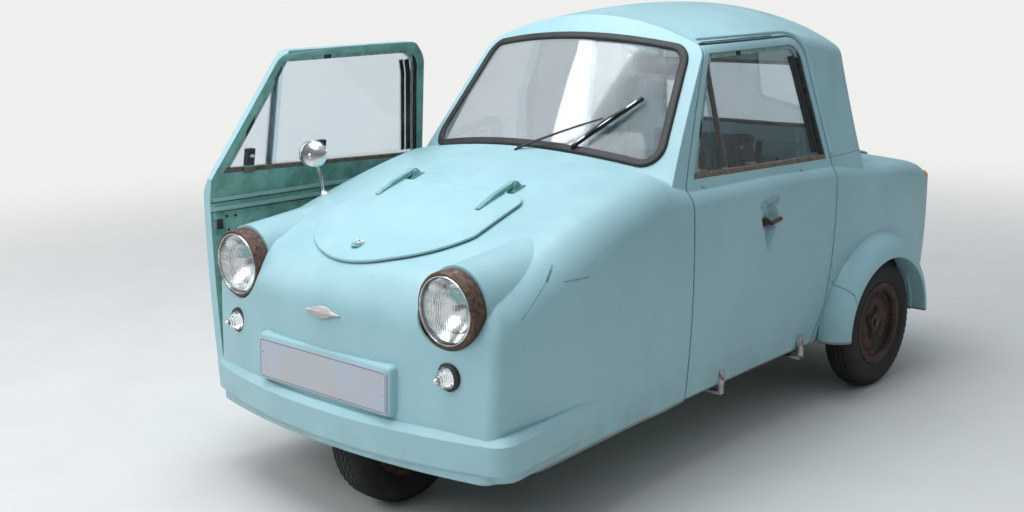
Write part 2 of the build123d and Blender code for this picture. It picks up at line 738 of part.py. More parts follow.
with BuildPart() as rear_dampers:
    for side in (-1, 1):
        low = Vector(side * 408, 692, 256)
        high = Vector(side * 403, 773, 446)
        along = (high - low).normalized()
        add(pipe([low, high], 10))
        add(pipe([low + along * 40, low + along * 170], 20))
save(rear_dampers.part, "rear_dampers")

with BuildPart() as engine:
    add(box((-240, 880, 254), (240, 1160, 540)))
    chamfer(engine.edges().filter_by(Axis.Z), 40)
save(engine.part, "engine")

# Lamps
LENS_DOME = 158.6
LENS_RISE = 24.0
with BuildPart() as headlamp_lenses:
    for side in (-1, 1):
        x, y, z = side * HEADLAMP[0], HEADLAMP[1], HEADLAMP[2]
        with Locations((x, y + LENS_DOME - LENS_RISE, z)):
            Sphere(LENS_DOME)
            Sphere(LENS_DOME - 10, mode=Mode.SUBTRACT)
        with Locations(Location((x, y + 204, z), (90, 0, 0))):
            Cylinder(LENS_DOME + 1, 400, mode=Mode.SUBTRACT)
save(headlamp_lenses.part, "headlamp_lenses")

with BuildPart() as headlamp_rims:
    for side in (-1, 1):
        x, y, z = side * HEADLAMP[0], HEADLAMP[1], HEADLAMP[2]
        add(turned([(0, 86.5), (-4, 96), (0, 100), (12, 101), (41, 101), (41, 60), (34, 60), (34, 84), (14, 86)], (x, y, z), (0, 1, 0)))
    add(headlamp_lenses.part, mode=Mode.SUBTRACT)
save(headlamp_rims.part, "headlamp_rims")

with BuildPart() as side_lamp_bases:
    for side in (-1, 1):
        x, y, z = side * SIDE_LAMP[0], SIDE_LAMP[1], SIDE_LAMP[2]
        add(turned([(-34, 0), (-34, 30), (-30, 37), (0, 40), (60, 40), (60, 0)], (x, y, z), (0, 1, 0)))
    add(nose_outer, mode=Mode.SUBTRACT)
save(side_lamp_bases.part, "side_lamp_bases")

with BuildPart() as side_lamp_lenses:
    for side in (-1, 1):
        x, y, z = side * SIDE_LAMP[0], SIDE_LAMP[1], SIDE_LAMP[2]
        add(turned([(-34.3, 0), (-34.3, 29), (-44, 29), (-58, 20), (-74, 9), (-78, 0)], (x, y, z), (0, 1, 0)))
save(side_lamp_lenses.part, "side_lamp_lenses")

with BuildPart() as tail_lamps:
    for side in (-1, 1):
        add(box((side * TAIL_LAMP[0] - 24, 1225, 588), (side * TAIL_LAMP[0] + 24, 1288, 713)))
    fillet(tail_lamps.edges().filter_by(Axis.Y), 20)
    add(tail_form.part, mode=Mode.SUBTRACT)
save(tail_lamps.part, "tail_lamps")

# Plates, badge and small fittings
PLATE_TILT = 3.5
with BuildPart() as front_plate:
    with BuildSketch(Plane(origin=(0, -1262, 443), x_dir=(1, 0, 0), z_dir=(0, -1, math.sin(math.radians(PLATE_TILT))))):
        RectangleRounded(538, 115, 12)
    extrude(amount=3)

with BuildPart() as rear_plate:
    with BuildSketch(Plane(origin=(0, 1262.2, 456), x_dir=(1, 0, 0), z_dir=(0, -1, 0))):
        RectangleRounded(330, 190, 12)
    extrude(amount=-3)
save(Compound(children=[*front_plate.part.solids(), *rear_plate.part.solids()]), "plates")

with BuildPart() as badge:
    with BuildSketch(Plane(origin=(0, -1247, 614), x_dir=(1, 0, 0), z_dir=(0, -1, 0.12))):
        Polygon((-55, 0), (-18, 9), (0, 14), (18, 9), (55, 0), (18, -9), (0, -14), (-18, -9), align=None)
    extrude(amount=4)
    with BuildSketch(Plane(origin=(0, -1247, 614), x_dir=(1, 0, 0), z_dir=(0, -1, 0.12))):
        Circle(6)
    extrude(amount=-16)
    add(nose_outer, mode=Mode.SUBTRACT)
save(badge.part, "badge")

with BuildPart() as wing_mirror:
    with Locations((-480, -832, 814)):
        Cylinder(17, 60)
    add(pipe([(-480, -832, 838), (-508, -850, 925)], 6))
    add(turned([(-8, 0), (-8, 58), (0, 60), (10, 56), (24, 36), (30, 14), (30, 0)], (-510, -846, 958), (0.35, -1, 0.1)))
    add(nose_outer, mode=Mode.SUBTRACT)
save(wing_mirror.part, "wing_mirror")

with BuildPart() as wiper:
    add(pipe([(8, -452, 930), (2, -462, 972)], 9))
    add(pipe([(2, -460, 966), (247, -384, 1050)], 5))
    add(pipe([(181, -438, 973), (338, -286, 1116)], 7))
    add(pipe([(247, -384, 1050), (262, -364, 1047)], 7))
    add(seal_skin, mode=Mode.SUBTRACT)
    add(nose_outer, mode=Mode.SUBTRACT)
save(wiper.part, "wiper")

with BuildPart() as inner_mirror:
    add(box((205, -130, 1160), (370, -118, 1228)))
    fillet(inner_mirror.edges().filter_by(Axis.Y), 14)
    add(pipe([(287, -120, 1200), (287, -96, 1290)], 5))
    add(top_inner, mode=Mode.INTERSECT)
save(inner_mirror.part, "inner_mirror")

# Steering bar and its column, dashboard
COLUMN_LOW = (0.0, -630.0, 640.0)
COLUMN_HIGH = (0.0, -330.0, 850.0)
column_axis = (Vector(*COLUMN_HIGH) - Vector(*COLUMN_LOW)).normalized()
with BuildPart() as tiller:
    add(pipe([COLUMN_LOW, COLUMN_HIGH], 14))
    add(pipe([(-205, -262, 860), (-120, -322, 855), (120, -322, 855), (205, -262, 860)], 11, 40))
save(tiller.part, "tiller")

with BuildPart() as dashboard:
    add(box((-500, -639.5, 600), (500, -629.5, 790)))
    add(box((-500, -639.5, 780), (500, -470, 790)))
    add(box((180, -560, 790), (380, -480, 850)))
    fillet(dashboard.edges().filter_by(Axis.Y).group_by(Axis.Z)[-1], 20)
    bush = Plane(origin=Vector(*COLUMN_LOW) + column_axis * 60, z_dir=column_axis)
    with BuildSketch(bush):
        Circle(24)
    extrude(amount=50, both=True)
    with BuildSketch(bush):
        Circle(14.06)
    extrude(amount=200, both=True, mode=Mode.SUBTRACT)
    add(box((-600, -700, 500), (600, -639.5, 900)), mode=Mode.SUBTRACT)
save(dashboard.part, "dashboard")

# Seat
with BuildPart() as seat_frame:
    for side in (-1, 1):
        add(pipe([(side * 190, 70, 270.2), (side * 190, 70, 392), (side * 190, 545, 392), (side * 190, 600, 880)], 12, 40))
        add(pipe([(side * 190, 440, 270.2), (side * 190, 440, 392)], 12))
    for y, z in ((90, 392), (440, 392)):
        add(pipe([(-190, y, z), (190, y, z)], 12))
    add(pipe([(-190, 593, 826), (190, 593, 826)], 12))
    add(box((-400, 0, 200), (400, 700, 270.2)), mode=Mode.SUBTRACT)
save(seat_frame.part, "seat_frame")

with BuildPart() as seat_cushion:
    add(box((-230, 50, 405), (230, 440, 500)))
    fillet(seat_cushion.edges(), 30)
save(seat_cushion.part, "seat_cushion")

with BuildPart() as seat_back:
    with BuildSketch(Plane.YZ.offset(-225)):
        Polygon((448, 505), (520, 505), (558, 720), (566, 925), (500, 940), (478, 720), align=None)
    extrude(amount=450)
save(seat_back.part, "seat_back")


# Doors: shell, panes, pane channels and handle are made once, on the left
def frame_slab(outside, inside, outline, hole=None):
    """Slice of the leaning cabin side between two depths."""
    outer = tunnel(ROOF_SECTIONS, ROOF_LEAN, outside, ROOF_FOOT)
    inner = tunnel(ROOF_SECTIONS, ROOF_LEAN, inside, ROOF_FOOT, 780)
    return ring_slab(outer, inner, outline, hole)


HANDLE_Y = 92.0
HANDLE_Z = 709.0
with BuildPart() as door:
    add(cabin_outer)
    add(top_outer)
    add(side_prism(0, 380, 720), mode=Mode.INTERSECT)
    add(tunnel(CABIN_SECTIONS, SIDE_LEAN, DOOR_THICK, SILL_Z, 150, straight=True), mode=Mode.SUBTRACT)
    add(tunnel(ROOF_SECTIONS, ROOF_LEAN, 26, ROOF_FOOT), mode=Mode.SUBTRACT)
    add(window_prism(0, 300, 720), mode=Mode.SUBTRACT)
    with BuildSketch(Plane.YZ.offset(565)):
        with BuildLine():
            ThreePointArc((37, 726), (89, 774), (143, 726))
            Polyline((143, 726), (101, 616))
            ThreePointArc((101, 616), (87, 606), (77, 618))
            Line((77, 618), (37, 726))
        make_face()
    extrude(amount=-30, taper=32, mode=Mode.SUBTRACT)
    for low in (800, 770):
        add(box((511, -300, low), (523, 478, low + 12)))

with BuildPart() as panes:
    add(frame_slab(8, 12, window_prism(14.5, 300, 720)) & box((0, -400, 700), (700, -80, 1400)))
    add(frame_slab(14, 18, window_prism(14.5, 300, 720)) & box((0, -118, 700), (700, 600, 1400)))

with BuildPart() as channels:
    add(frame_slab(4, 22, window_prism(0.3, 300, 720), window_prism(14, 300, 720)))
    add(frame_slab(3, 7.7, window_prism(0.3, 300, 720)) & box((0, -112, 700), (700, -92, 1400)))
    for y in (-200, 60):
        add(frame_slab(18.3, 40, box((300, y, 890), (720, y + 26, 960))))
        add(frame_slab(4, 40, box((300, y, 882), (720, y + 26, 904)), window_prism(14, 300, 720)))
    add(door.part, mode=Mode.SUBTRACT)

with BuildPart() as handle:
    add(turned([(-4, 0), (-4, 15), (4, 13), (6, 7), (24, 7), (24, 0)], (543, HANDLE_Y, HANDLE_Z), (1, 0, 0)))
    add(pipe([(563, HANDLE_Y - 8, HANDLE_Z - 1), (563, HANDLE_Y + 52, HANDLE_Z + 5)], 7))
    add(door.part, mode=Mode.SUBTRACT)

HOOK_ROWS = (-120.0, 350.0)
RAIL_X = 478.0
RAIL_Z = 214.0
RAIL_R = 9.0
with BuildPart() as hooks:
    for y in HOOK_ROWS:
        with BuildSketch(Plane.XZ.offset(-(y + 11))):
            Polygon((516, 276), (528, 276), (528, 197), (474, 197), (474, 206), (521, 206), (521, 228), (516, 228), align=None)
        extrude(amount=22)
    add(door.part, mode=Mode.SUBTRACT)
    add(pipe([(RAIL_X, -400, RAIL_Z), (RAIL_X, 400, RAIL_Z)], RAIL_R), mode=Mode.SUBTRACT)


def opened(solid):
    """Mirror a left door piece to the right and move it to the open place."""
    flipped = mirror(solid, about=Plane.YZ)
    turn = Pos(*DOOR_PIVOT) * Rot(0, 0, DOOR_TURN) * Rot(0, DOOR_LEAN, 0) * Pos(*[-value for value in DOOR_PIVOT])
    return Pos(DOOR_OUT, DOOR_FORWARD, DOOR_LIFT) * turn * flipped


open_door = opened(door.part)
open_hooks = opened(hooks.part)
save(door.part, "door_left")
save(open_door, "door_right")
for pieces, name in ((panes, "door_panes"), (channels, "door_channels"), (handle, "door_handles"), (hooks, "door_hooks")):
    save(Compound(children=[*pieces.part.solids(), *opened(pieces.part).solids()]), name)

# Rails, with the two links and the waist roller that carry the open right door
LINKS = [(-710.0, -915.0), (-657.0, -448.0)]
ROLLER_Y = -410.0
ROLLER_Z = 835.0
with BuildPart() as door_rails:
    for side in (-1, 1):
        add(pipe([(side * RAIL_X, -1084, RAIL_Z), (side * RAIL_X, 400, RAIL_Z)], RAIL_R))
        for y in (-600, -200, 240):
            add(box((min(side * 456, side * RAIL_X), y - 6, 213), (max(side * 456, side * RAIL_X), y + 6, 221)))
        add(box((min(side * 462, side * 572), -1082, 216), (max(side * 462, side * 572), -1070, 290)))
    for x, y in LINKS:
        add(pipe([(-RAIL_X, y, RAIL_Z + 4), (x, y, RAIL_Z + 4)], 7))
    add(pipe([(-545, ROLLER_Y, ROLLER_Z), (-630, ROLLER_Y, ROLLER_Z)], 6))
    add(pipe([(-608, ROLLER_Y, ROLLER_Z), (-630, ROLLER_Y, ROLLER_Z)], 11))
    add(body_front.part, mode=Mode.SUBTRACT)
    add(floor_pan.part, mode=Mode.SUBTRACT)
    add(open_door, mode=Mode.SUBTRACT)
    add(open_hooks, mode=Mode.SUBTRACT)
save(door_rails.part, "door_rails")
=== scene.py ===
"""Looks of a small three wheeled car with a moulded turquoise body.

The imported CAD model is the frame. Each operator dresses it with one piece or group of like pieces,
in metres, in the frame's own axes: the front faces -Y, +X is the car's left side and +Z is up.
"""
import math

import bmesh
import bpy
import numpy as np
from mathutils import Matrix, Vector
from mathutils.bvhtree import BVHTree


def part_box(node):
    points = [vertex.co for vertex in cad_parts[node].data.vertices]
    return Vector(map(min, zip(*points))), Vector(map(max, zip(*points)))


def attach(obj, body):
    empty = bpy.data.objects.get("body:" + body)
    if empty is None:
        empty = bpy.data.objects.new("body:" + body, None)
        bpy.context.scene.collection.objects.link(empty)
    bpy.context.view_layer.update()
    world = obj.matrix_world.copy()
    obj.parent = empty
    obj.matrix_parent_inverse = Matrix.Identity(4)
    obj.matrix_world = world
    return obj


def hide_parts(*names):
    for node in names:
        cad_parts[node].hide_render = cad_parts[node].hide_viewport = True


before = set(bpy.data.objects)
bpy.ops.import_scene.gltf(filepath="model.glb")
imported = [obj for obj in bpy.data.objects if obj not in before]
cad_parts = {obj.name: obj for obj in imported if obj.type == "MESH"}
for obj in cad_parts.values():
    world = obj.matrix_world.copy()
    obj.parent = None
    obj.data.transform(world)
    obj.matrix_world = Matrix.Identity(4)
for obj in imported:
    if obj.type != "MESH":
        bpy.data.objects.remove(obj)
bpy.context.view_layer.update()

bl_info = {
    "name": "Three wheeled car",
    "version": (1, 0, 0),
    "blender": (4, 5, 0),
    "location": "3D View > Sidebar > Car",
    "description": "Dresses the frame of a small three wheeled car with its visible pieces and finishes",
    "category": "Object",
}


def corners(name):
    """Lowest and highest corner of a CAD node's box."""
    low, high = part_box(name)
    return np.array(low), np.array(high)


# The car's own centre plane and front axle, read from the frame
FRONT_AXLE_Y = -0.984
CENTRE_X = sum(corner[0] for corner in corners("steering_fork")) / 2
CENTRE_Y = sum(corner[1] for corner in corners("rim_front")) / 2 - FRONT_AXLE_Y


def at(x, y, z):
    """Point given in metres about the car's own centre plane and its zero, 984 mm behind the front axle."""
    return np.array([x + CENTRE_X, y + CENTRE_Y, z])


# Open right door: the mirrored left door is turned about its pivot, moved out and forward
DOOR_PIVOT = Matrix.Translation(at(-0.520, -0.308, 0.874))
DOOR_MOVE = Matrix.Translation((-0.178, -0.793, 0.018))
DOOR_TURN = Matrix.Rotation(math.radians(-6.5), 4, "Z") @ Matrix.Rotation(math.radians(2.3), 4, "Y")
TO_CENTRE = Matrix.Translation((CENTRE_X, 0, 0))
MIRROR = TO_CENTRE @ Matrix.Diagonal((-1, 1, 1, 1)) @ TO_CENTRE.inverted()
OPEN_DOOR = np.array(DOOR_MOVE @ DOOR_PIVOT @ DOOR_TURN @ DOOR_PIVOT.inverted() @ MIRROR)

# Into the cabin from the left door and from the open right door
DOOR_INWARD = {1: (-1, 0, 0), -1: (0.99, -0.11, 0.04)}

# Places along the left door's window
CATCHES_Y = (-0.187, 0.073)
DIVIDER_Y = -0.102

# Height of the joint between the roof moulding and the tail, and where it starts
ROOF_JOINT_Z = 0.8622
ROOF_JOINT_Y = 0.49

# Windscreen: corners as (x, z), corner radius, bow radius, lean, and the bow of its lower and upper edge
SCREEN_CORNERS = np.array([(0.478, 0.916), (0.402, 1.262), (-0.402, 1.262), (-0.478, 0.916)])
SCREEN_RADIUS = 0.062
SCREEN_BOW = 1.300
SCREEN_LEAN = 0.83
SCREEN_RISE = (0.046, 0.038)

# Front plate: its middle, its backward tilt and the pad behind it. Both plates: width and height
PLATE_MIDDLE = at(0, -1.262, 0.443)
PLATE_TILT = math.radians(3.5)
PAD_SIZE = np.array([0.545, 0.124])
FRONT_PLATE_SIZE = (0.538, 0.115)
REAR_PLATE_SIZE = (0.330, 0.190)

# Background colour as a camera ray sees it, and strength of the sky
PALE = (0.87, 0.87, 0.86)
SKY_STRENGTH = 0.66

# Rims and tyres, with the bodies they turn on
WHEELS = {"front": "front_wheel", "rear_left": "rear_wheel_left", "rear_right": "rear_wheel_right"}

X_AXIS = np.array([1.0, 0, 0])

# Edges sharper than this, in degrees, stay sharp on most small pieces
SHARP = 32.0


# Sizes and colours that a user would change


class BodySettings(bpy.types.PropertyGroup):
    paint: bpy.props.FloatVectorProperty(
        name="Paint", description="Colour of the sound paint", subtype="COLOR", size=3,
        default=(0.335, 0.55, 0.59))
    inner_paint: bpy.props.FloatVectorProperty(
        name="Inner paint", description="Colour of the door linings and the floor", subtype="COLOR", size=3,
        default=(0.25, 0.49, 0.41))
    wear: bpy.props.FloatProperty(
        name="Wear", description="How many scuffs and chips the paint has", default=1.0, min=0.0, max=2.0,
        subtype="FACTOR")


class WheelSettings(bpy.types.PropertyGroup):
    tread_depth: bpy.props.FloatProperty(
        name="Tread depth", description="Depth of the tyre grooves", default=0.005, min=0.0, unit="LENGTH")
    blocks: bpy.props.IntProperty(
        name="Blocks", description="Zigzags of a groove round the tyre", default=54, min=8)
    nuts: bpy.props.IntProperty(
        name="Nuts", description="Wheel nuts on each rim", default=4, min=3)


class LampSettings(bpy.types.PropertyGroup):
    flutes: bpy.props.IntProperty(
        name="Flutes", description="Upright flutes in each headlamp glass", default=26, min=4)
    dome: bpy.props.FloatProperty(
        name="Dome", description="How far the headlamp glass bulges", default=0.024, min=0.0, unit="LENGTH")


class SeatSettings(bpy.types.PropertyGroup):
    cover: bpy.props.FloatVectorProperty(
        name="Cover", description="Colour of the seat cover", subtype="COLOR", size=3,
        default=(0.035, 0.036, 0.040))
    channels: bpy.props.IntProperty(
        name="Channels", description="Sewn channels across each cushion", default=5, min=1)


class ViewSettings(bpy.types.PropertyGroup):
    focal_length: bpy.props.FloatProperty(
        name="Focal length", description="Lens on a 36 mm sensor, in mm", default=45.93, min=10.0)
    place: bpy.props.FloatVectorProperty(
        name="Place", description="Camera from the car's centre plane and its own zero", size=3,
        subtype="TRANSLATION", default=(2.7001, -3.3695, 1.5145))
    azimuth: bpy.props.FloatProperty(
        name="Azimuth", description="Angle of the camera round the car's front", default=math.radians(43.2),
        subtype="ANGLE")
    pitch: bpy.props.FloatProperty(
        name="Pitch", description="How far the camera looks down", default=math.radians(12.8),
        subtype="ANGLE")
    roll: bpy.props.FloatProperty(
        name="Roll", description="Tilt of the camera about its own axis", default=math.radians(-1.4),
        subtype="ANGLE")


# Meshes worked out with numpy


def grid_faces(rows, columns, close_rows=False, close_columns=True):
    """Quads of a grid of rows times columns points, as an array of four indices each."""
    i = np.arange(rows if close_rows else rows - 1)[:, None]
    j = np.arange(columns if close_columns else columns - 1)[None, :]
    a = i * columns + j
    b = i * columns + (j + 1) % columns
    c = ((i + 1) % rows) * columns + (j + 1) % columns
    d = ((i + 1) % rows) * columns + j
    return np.stack([a, b, c, d], axis=-1).reshape(-1, 4)


def place_mesh(name, parts, finish, body="root", replaces=None, crease=None):
    """One object from a list of (points, face arrays): doubles are merged and faces turned outwards.

    Edges sharper than the crease angle, in degrees, stay sharp in shading.
    """
    faces = []
    start = 0
    for points, groups in parts:
        for group in groups if isinstance(groups, list) else [groups]:
            faces.extend((group + start).tolist())
        start += points.reshape(-1, 3).shape[0]
    mesh = bpy.data.meshes.new(name)
    mesh.from_pydata(np.concatenate([part[0].reshape(-1, 3) for part in parts]).tolist(), [], faces)
    work = bmesh.new()
    work.from_mesh(mesh)
    bmesh.ops.remove_doubles(work, verts=work.verts, dist=1e-6)
    bmesh.ops.recalc_face_normals(work, faces=work.faces)
    work.to_mesh(mesh)
    work.free()
    mesh.polygons.foreach_set("use_smooth", np.full(len(mesh.polygons), True))
    if crease:
        mesh.set_sharp_from_angle(angle=math.radians(crease))
    piece = bpy.data.objects.new(name, mesh)
    bpy.context.scene.collection.objects.link(piece)
    mesh.materials.append(finishes[finish].material)
    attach(piece, body)
    if replaces:
        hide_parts(replaces)
    return piece


def coordinates(mesh):
    """Vertex places of a mesh as an array."""
    points = np.empty(len(mesh.vertices) * 3)
    mesh.vertices.foreach_get("co", points)
    return points.reshape(-1, 3)


def unit(vectors):
    """Vectors made one long."""
    return vectors / np.linalg.norm(vectors, axis=-1, keepdims=True)


def basis(direction, towards=(0, 0, 1)):
    """A unit vector along a direction and two across it, the first as near as can be to another vector."""
    along = unit(np.array(direction, float))
    first = np.array(towards, float)
    first = first - along * first.dot(along)
    if np.linalg.norm(first) < 1e-6:
        first = X_AXIS - along * along[0]
    first = unit(first)
    return along, first, np.cross(along, first)


def full_turn(steps):
    """Equal angles round a circle."""
    return np.linspace(0, 2 * np.pi, steps, endpoint=False)


def lathe(profile, origin, direction, steps=64):
    """Turned surface: each (along, radius) point of the profile goes round the axis in equal steps."""
    profile = np.array(profile, float)
    along, first, second = basis(direction)
    turn = full_turn(steps)
    ring = np.cos(turn)[:, None] * first + np.sin(turn)[:, None] * second
    places, radii = profile.T[:, :, None, None]
    return np.array(origin, float) + places * along + radii * ring, grid_faces(len(profile), steps)


def stacked(outline, middle, out, up, rows):
    """Flat outline of (across, up) points repeated in rows of (lift along out, share of its size)."""
    points = [middle + out * lift + (outline * share)[:, :1] * X_AXIS + (outline * share)[:, 1:] * up
              for lift, share in rows]
    return np.stack(points), grid_faces(len(rows), len(outline))


def carried(path, profile, ups, closed=False):
    """Profile of (across, up) points carried along a path: each ring lies across the path's tangent."""
    path = np.array(path, float)
    profile = np.array(profile, float)
    ups = np.broadcast_to(np.array(ups, float), path.shape)
    if closed:
        tangent = unit(np.roll(path, -1, axis=0) - np.roll(path, 1, axis=0))
    else:
        tangent = unit(np.gradient(path, axis=0))
    up = unit(ups - tangent * np.sum(ups * tangent, axis=1)[:, None])
    across = np.cross(tangent, up)
    beside, above = profile.T[:, None, :, None]
    points = path[:, None] + beside * across[:, None] + above * up[:, None]
    faces = grid_faces(len(path), len(profile), closed)
    if closed:
        return points, faces
    # Each open end is closed by a fan of triangles about the path's own end point
    count = len(profile)
    base = len(path) * count
    around = np.arange(count)
    following = (around + 1) % count
    last = base - count
    caps = [np.stack([around, following, np.full(count, base)], axis=-1),
            np.stack([following + last, around + last, np.full(count, base + 1)], axis=-1)]
    return np.concatenate([points.reshape(-1, 3), path[:1], path[-1:]]), [faces, *caps]


def round_profile(radius, steps):
    """Circle of (across, up) points."""
    turn = full_turn(steps)
    return radius * np.stack([np.cos(turn), np.sin(turn)], axis=-1)


def rounded_box_profile(width, height, radius, steps=4):
    """Rounded rectangle of (across, up) points: four quarter circles about the inner corners."""
    turn = np.linspace(0, np.pi / 2, steps + 1)
    points = []
    for sign_x, sign_y, quarter in ((1, 1, 0), (-1, 1, 1), (-1, -1, 2), (1, -1, 3)):
        angle = turn + quarter * np.pi / 2
        centre = np.array([sign_x * (width / 2 - radius), sign_y * (height / 2 - radius)])
        points.append(radius * np.stack([np.cos(angle), np.sin(angle)], axis=-1) + centre)
    return np.concatenate(points)


def smooth_path(points, count, closed=False):
    """Curve through a few points: each span is a cubic whose slope at a point is half the step between the
    points on either side of it. It is sampled evenly in its parameter.
    """
    points = np.array(points, float)
    if closed:
        padded = np.concatenate([points[-1:], points, points[:2]])
        spans = len(points)
    else:
        padded = np.concatenate([2 * points[:1] - points[1:2], points, 2 * points[-1:] - points[-2:-1]])
        spans = len(points) - 1
    t = np.linspace(0, spans, count, endpoint=not closed)
    k = np.minimum(t.astype(int), spans - 1)
    f = (t - k)[:, None]
    a, b, c, d = padded[k], padded[k + 1], padded[k + 2], padded[k + 3]
    return 0.5 * (2 * b + (c - a) * f + (2 * a - 5 * b + 4 * c - d) * f**2 + (3 * b - a - 3 * c + d) * f**3)


def block(low, high, radius):
    """Box between two corners: a rounded outline, smaller at both ends and closed to its middle there."""
    low, high = np.array(low, float), np.array(high, float)
    middle = (low + high)[:2] / 2
    size = (high - low)[:2]
    outline = rounded_box_profile(*size, radius)
    inset = 1 - radius / size
    rows = ((low[2], 0), (low[2], inset), (low[2] + radius / 2, 1), (high[2] - radius / 2, 1),
            (high[2], inset), (high[2], 0))
    points = [np.column_stack([outline * share + middle, np.full(len(outline), z)]) for z, share in rows]
    return np.stack(points), grid_faces(len(rows), len(outline))


def node_surface(name):
    """Search tree over the faces of a CAD node, to seat pieces on them."""
    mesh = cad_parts[name].data
    faces = [tuple(polygon.vertices) for polygon in mesh.polygons]
    return BVHTree.FromPolygons(coordinates(mesh).tolist(), faces)


def seat(tree, origin, direction):
    """Where a ray from the origin meets the surface, with the surface's normal."""
    place, normal, _, _ = tree.ray_cast(Vector(origin), Vector(direction))
    if place is None:
        raise RuntimeError("nothing lies under the point " + str(tuple(origin)))
    if normal.dot(Vector(direction)) > 0:
        normal = -normal
    return np.array(place), np.array(normal)


def seated_path(tree, points, direction, lift, count):
    """Smooth path through points dropped onto a surface along a direction, with its smoothed normals."""
    seats = [seat(tree, point, direction) for point in points]
    path = smooth_path([place for place, _ in seats], count)
    ups = unit(smooth_path([normal for _, normal in seats], count))
    return path + ups * lift, ups


def both_doors(parts):
    """Left door pieces with their copies on the open right door."""
    turn, move = OPEN_DOOR[:3, :3], OPEN_DOOR[:3, 3]
    return parts + [(points.reshape(-1, 3) @ turn.T + move, faces) for points, faces in parts]


def door_plane(side, foot, direction):
    """Plane through a point of the left door, as normal and offset, carried to the open door for side -1."""
    direction = np.array(direction, float)
    if side < 0:
        foot = OPEN_DOOR[:3, :3] @ foot + OPEN_DOOR[:3, 3]
        direction = OPEN_DOOR[:3, :3] @ direction
    return direction, float(direction.dot(foot))


# Materials


def add_node(tree, kind, inputs=None, **settings):
    """New node with its settings, its inputs given as values or linked from sockets."""
    made = tree.nodes.new(kind)
    for key, value in settings.items():
        setattr(made, key, value)
    for key, value in (inputs or {}).items():
        if isinstance(value, bpy.types.NodeSocket):
            tree.links.new(value, made.inputs[key])
        else:
            made.inputs[key].default_value = value
    return made


def mix_colours(tree, share, first, second):
    """Colour between two by a share."""
    made = tree.nodes.new("ShaderNodeMix")
    made.data_type = "RGBA"
    for name, value in (("Factor_Float", share), ("A_Color", first), ("B_Color", second)):
        target = [socket for socket in made.inputs if socket.identifier == name][0]
        if isinstance(value, bpy.types.NodeSocket):
            tree.links.new(value, target)
        else:
            target.default_value = value
    return [socket for socket in made.outputs if socket.identifier == "Result_Color"][0]


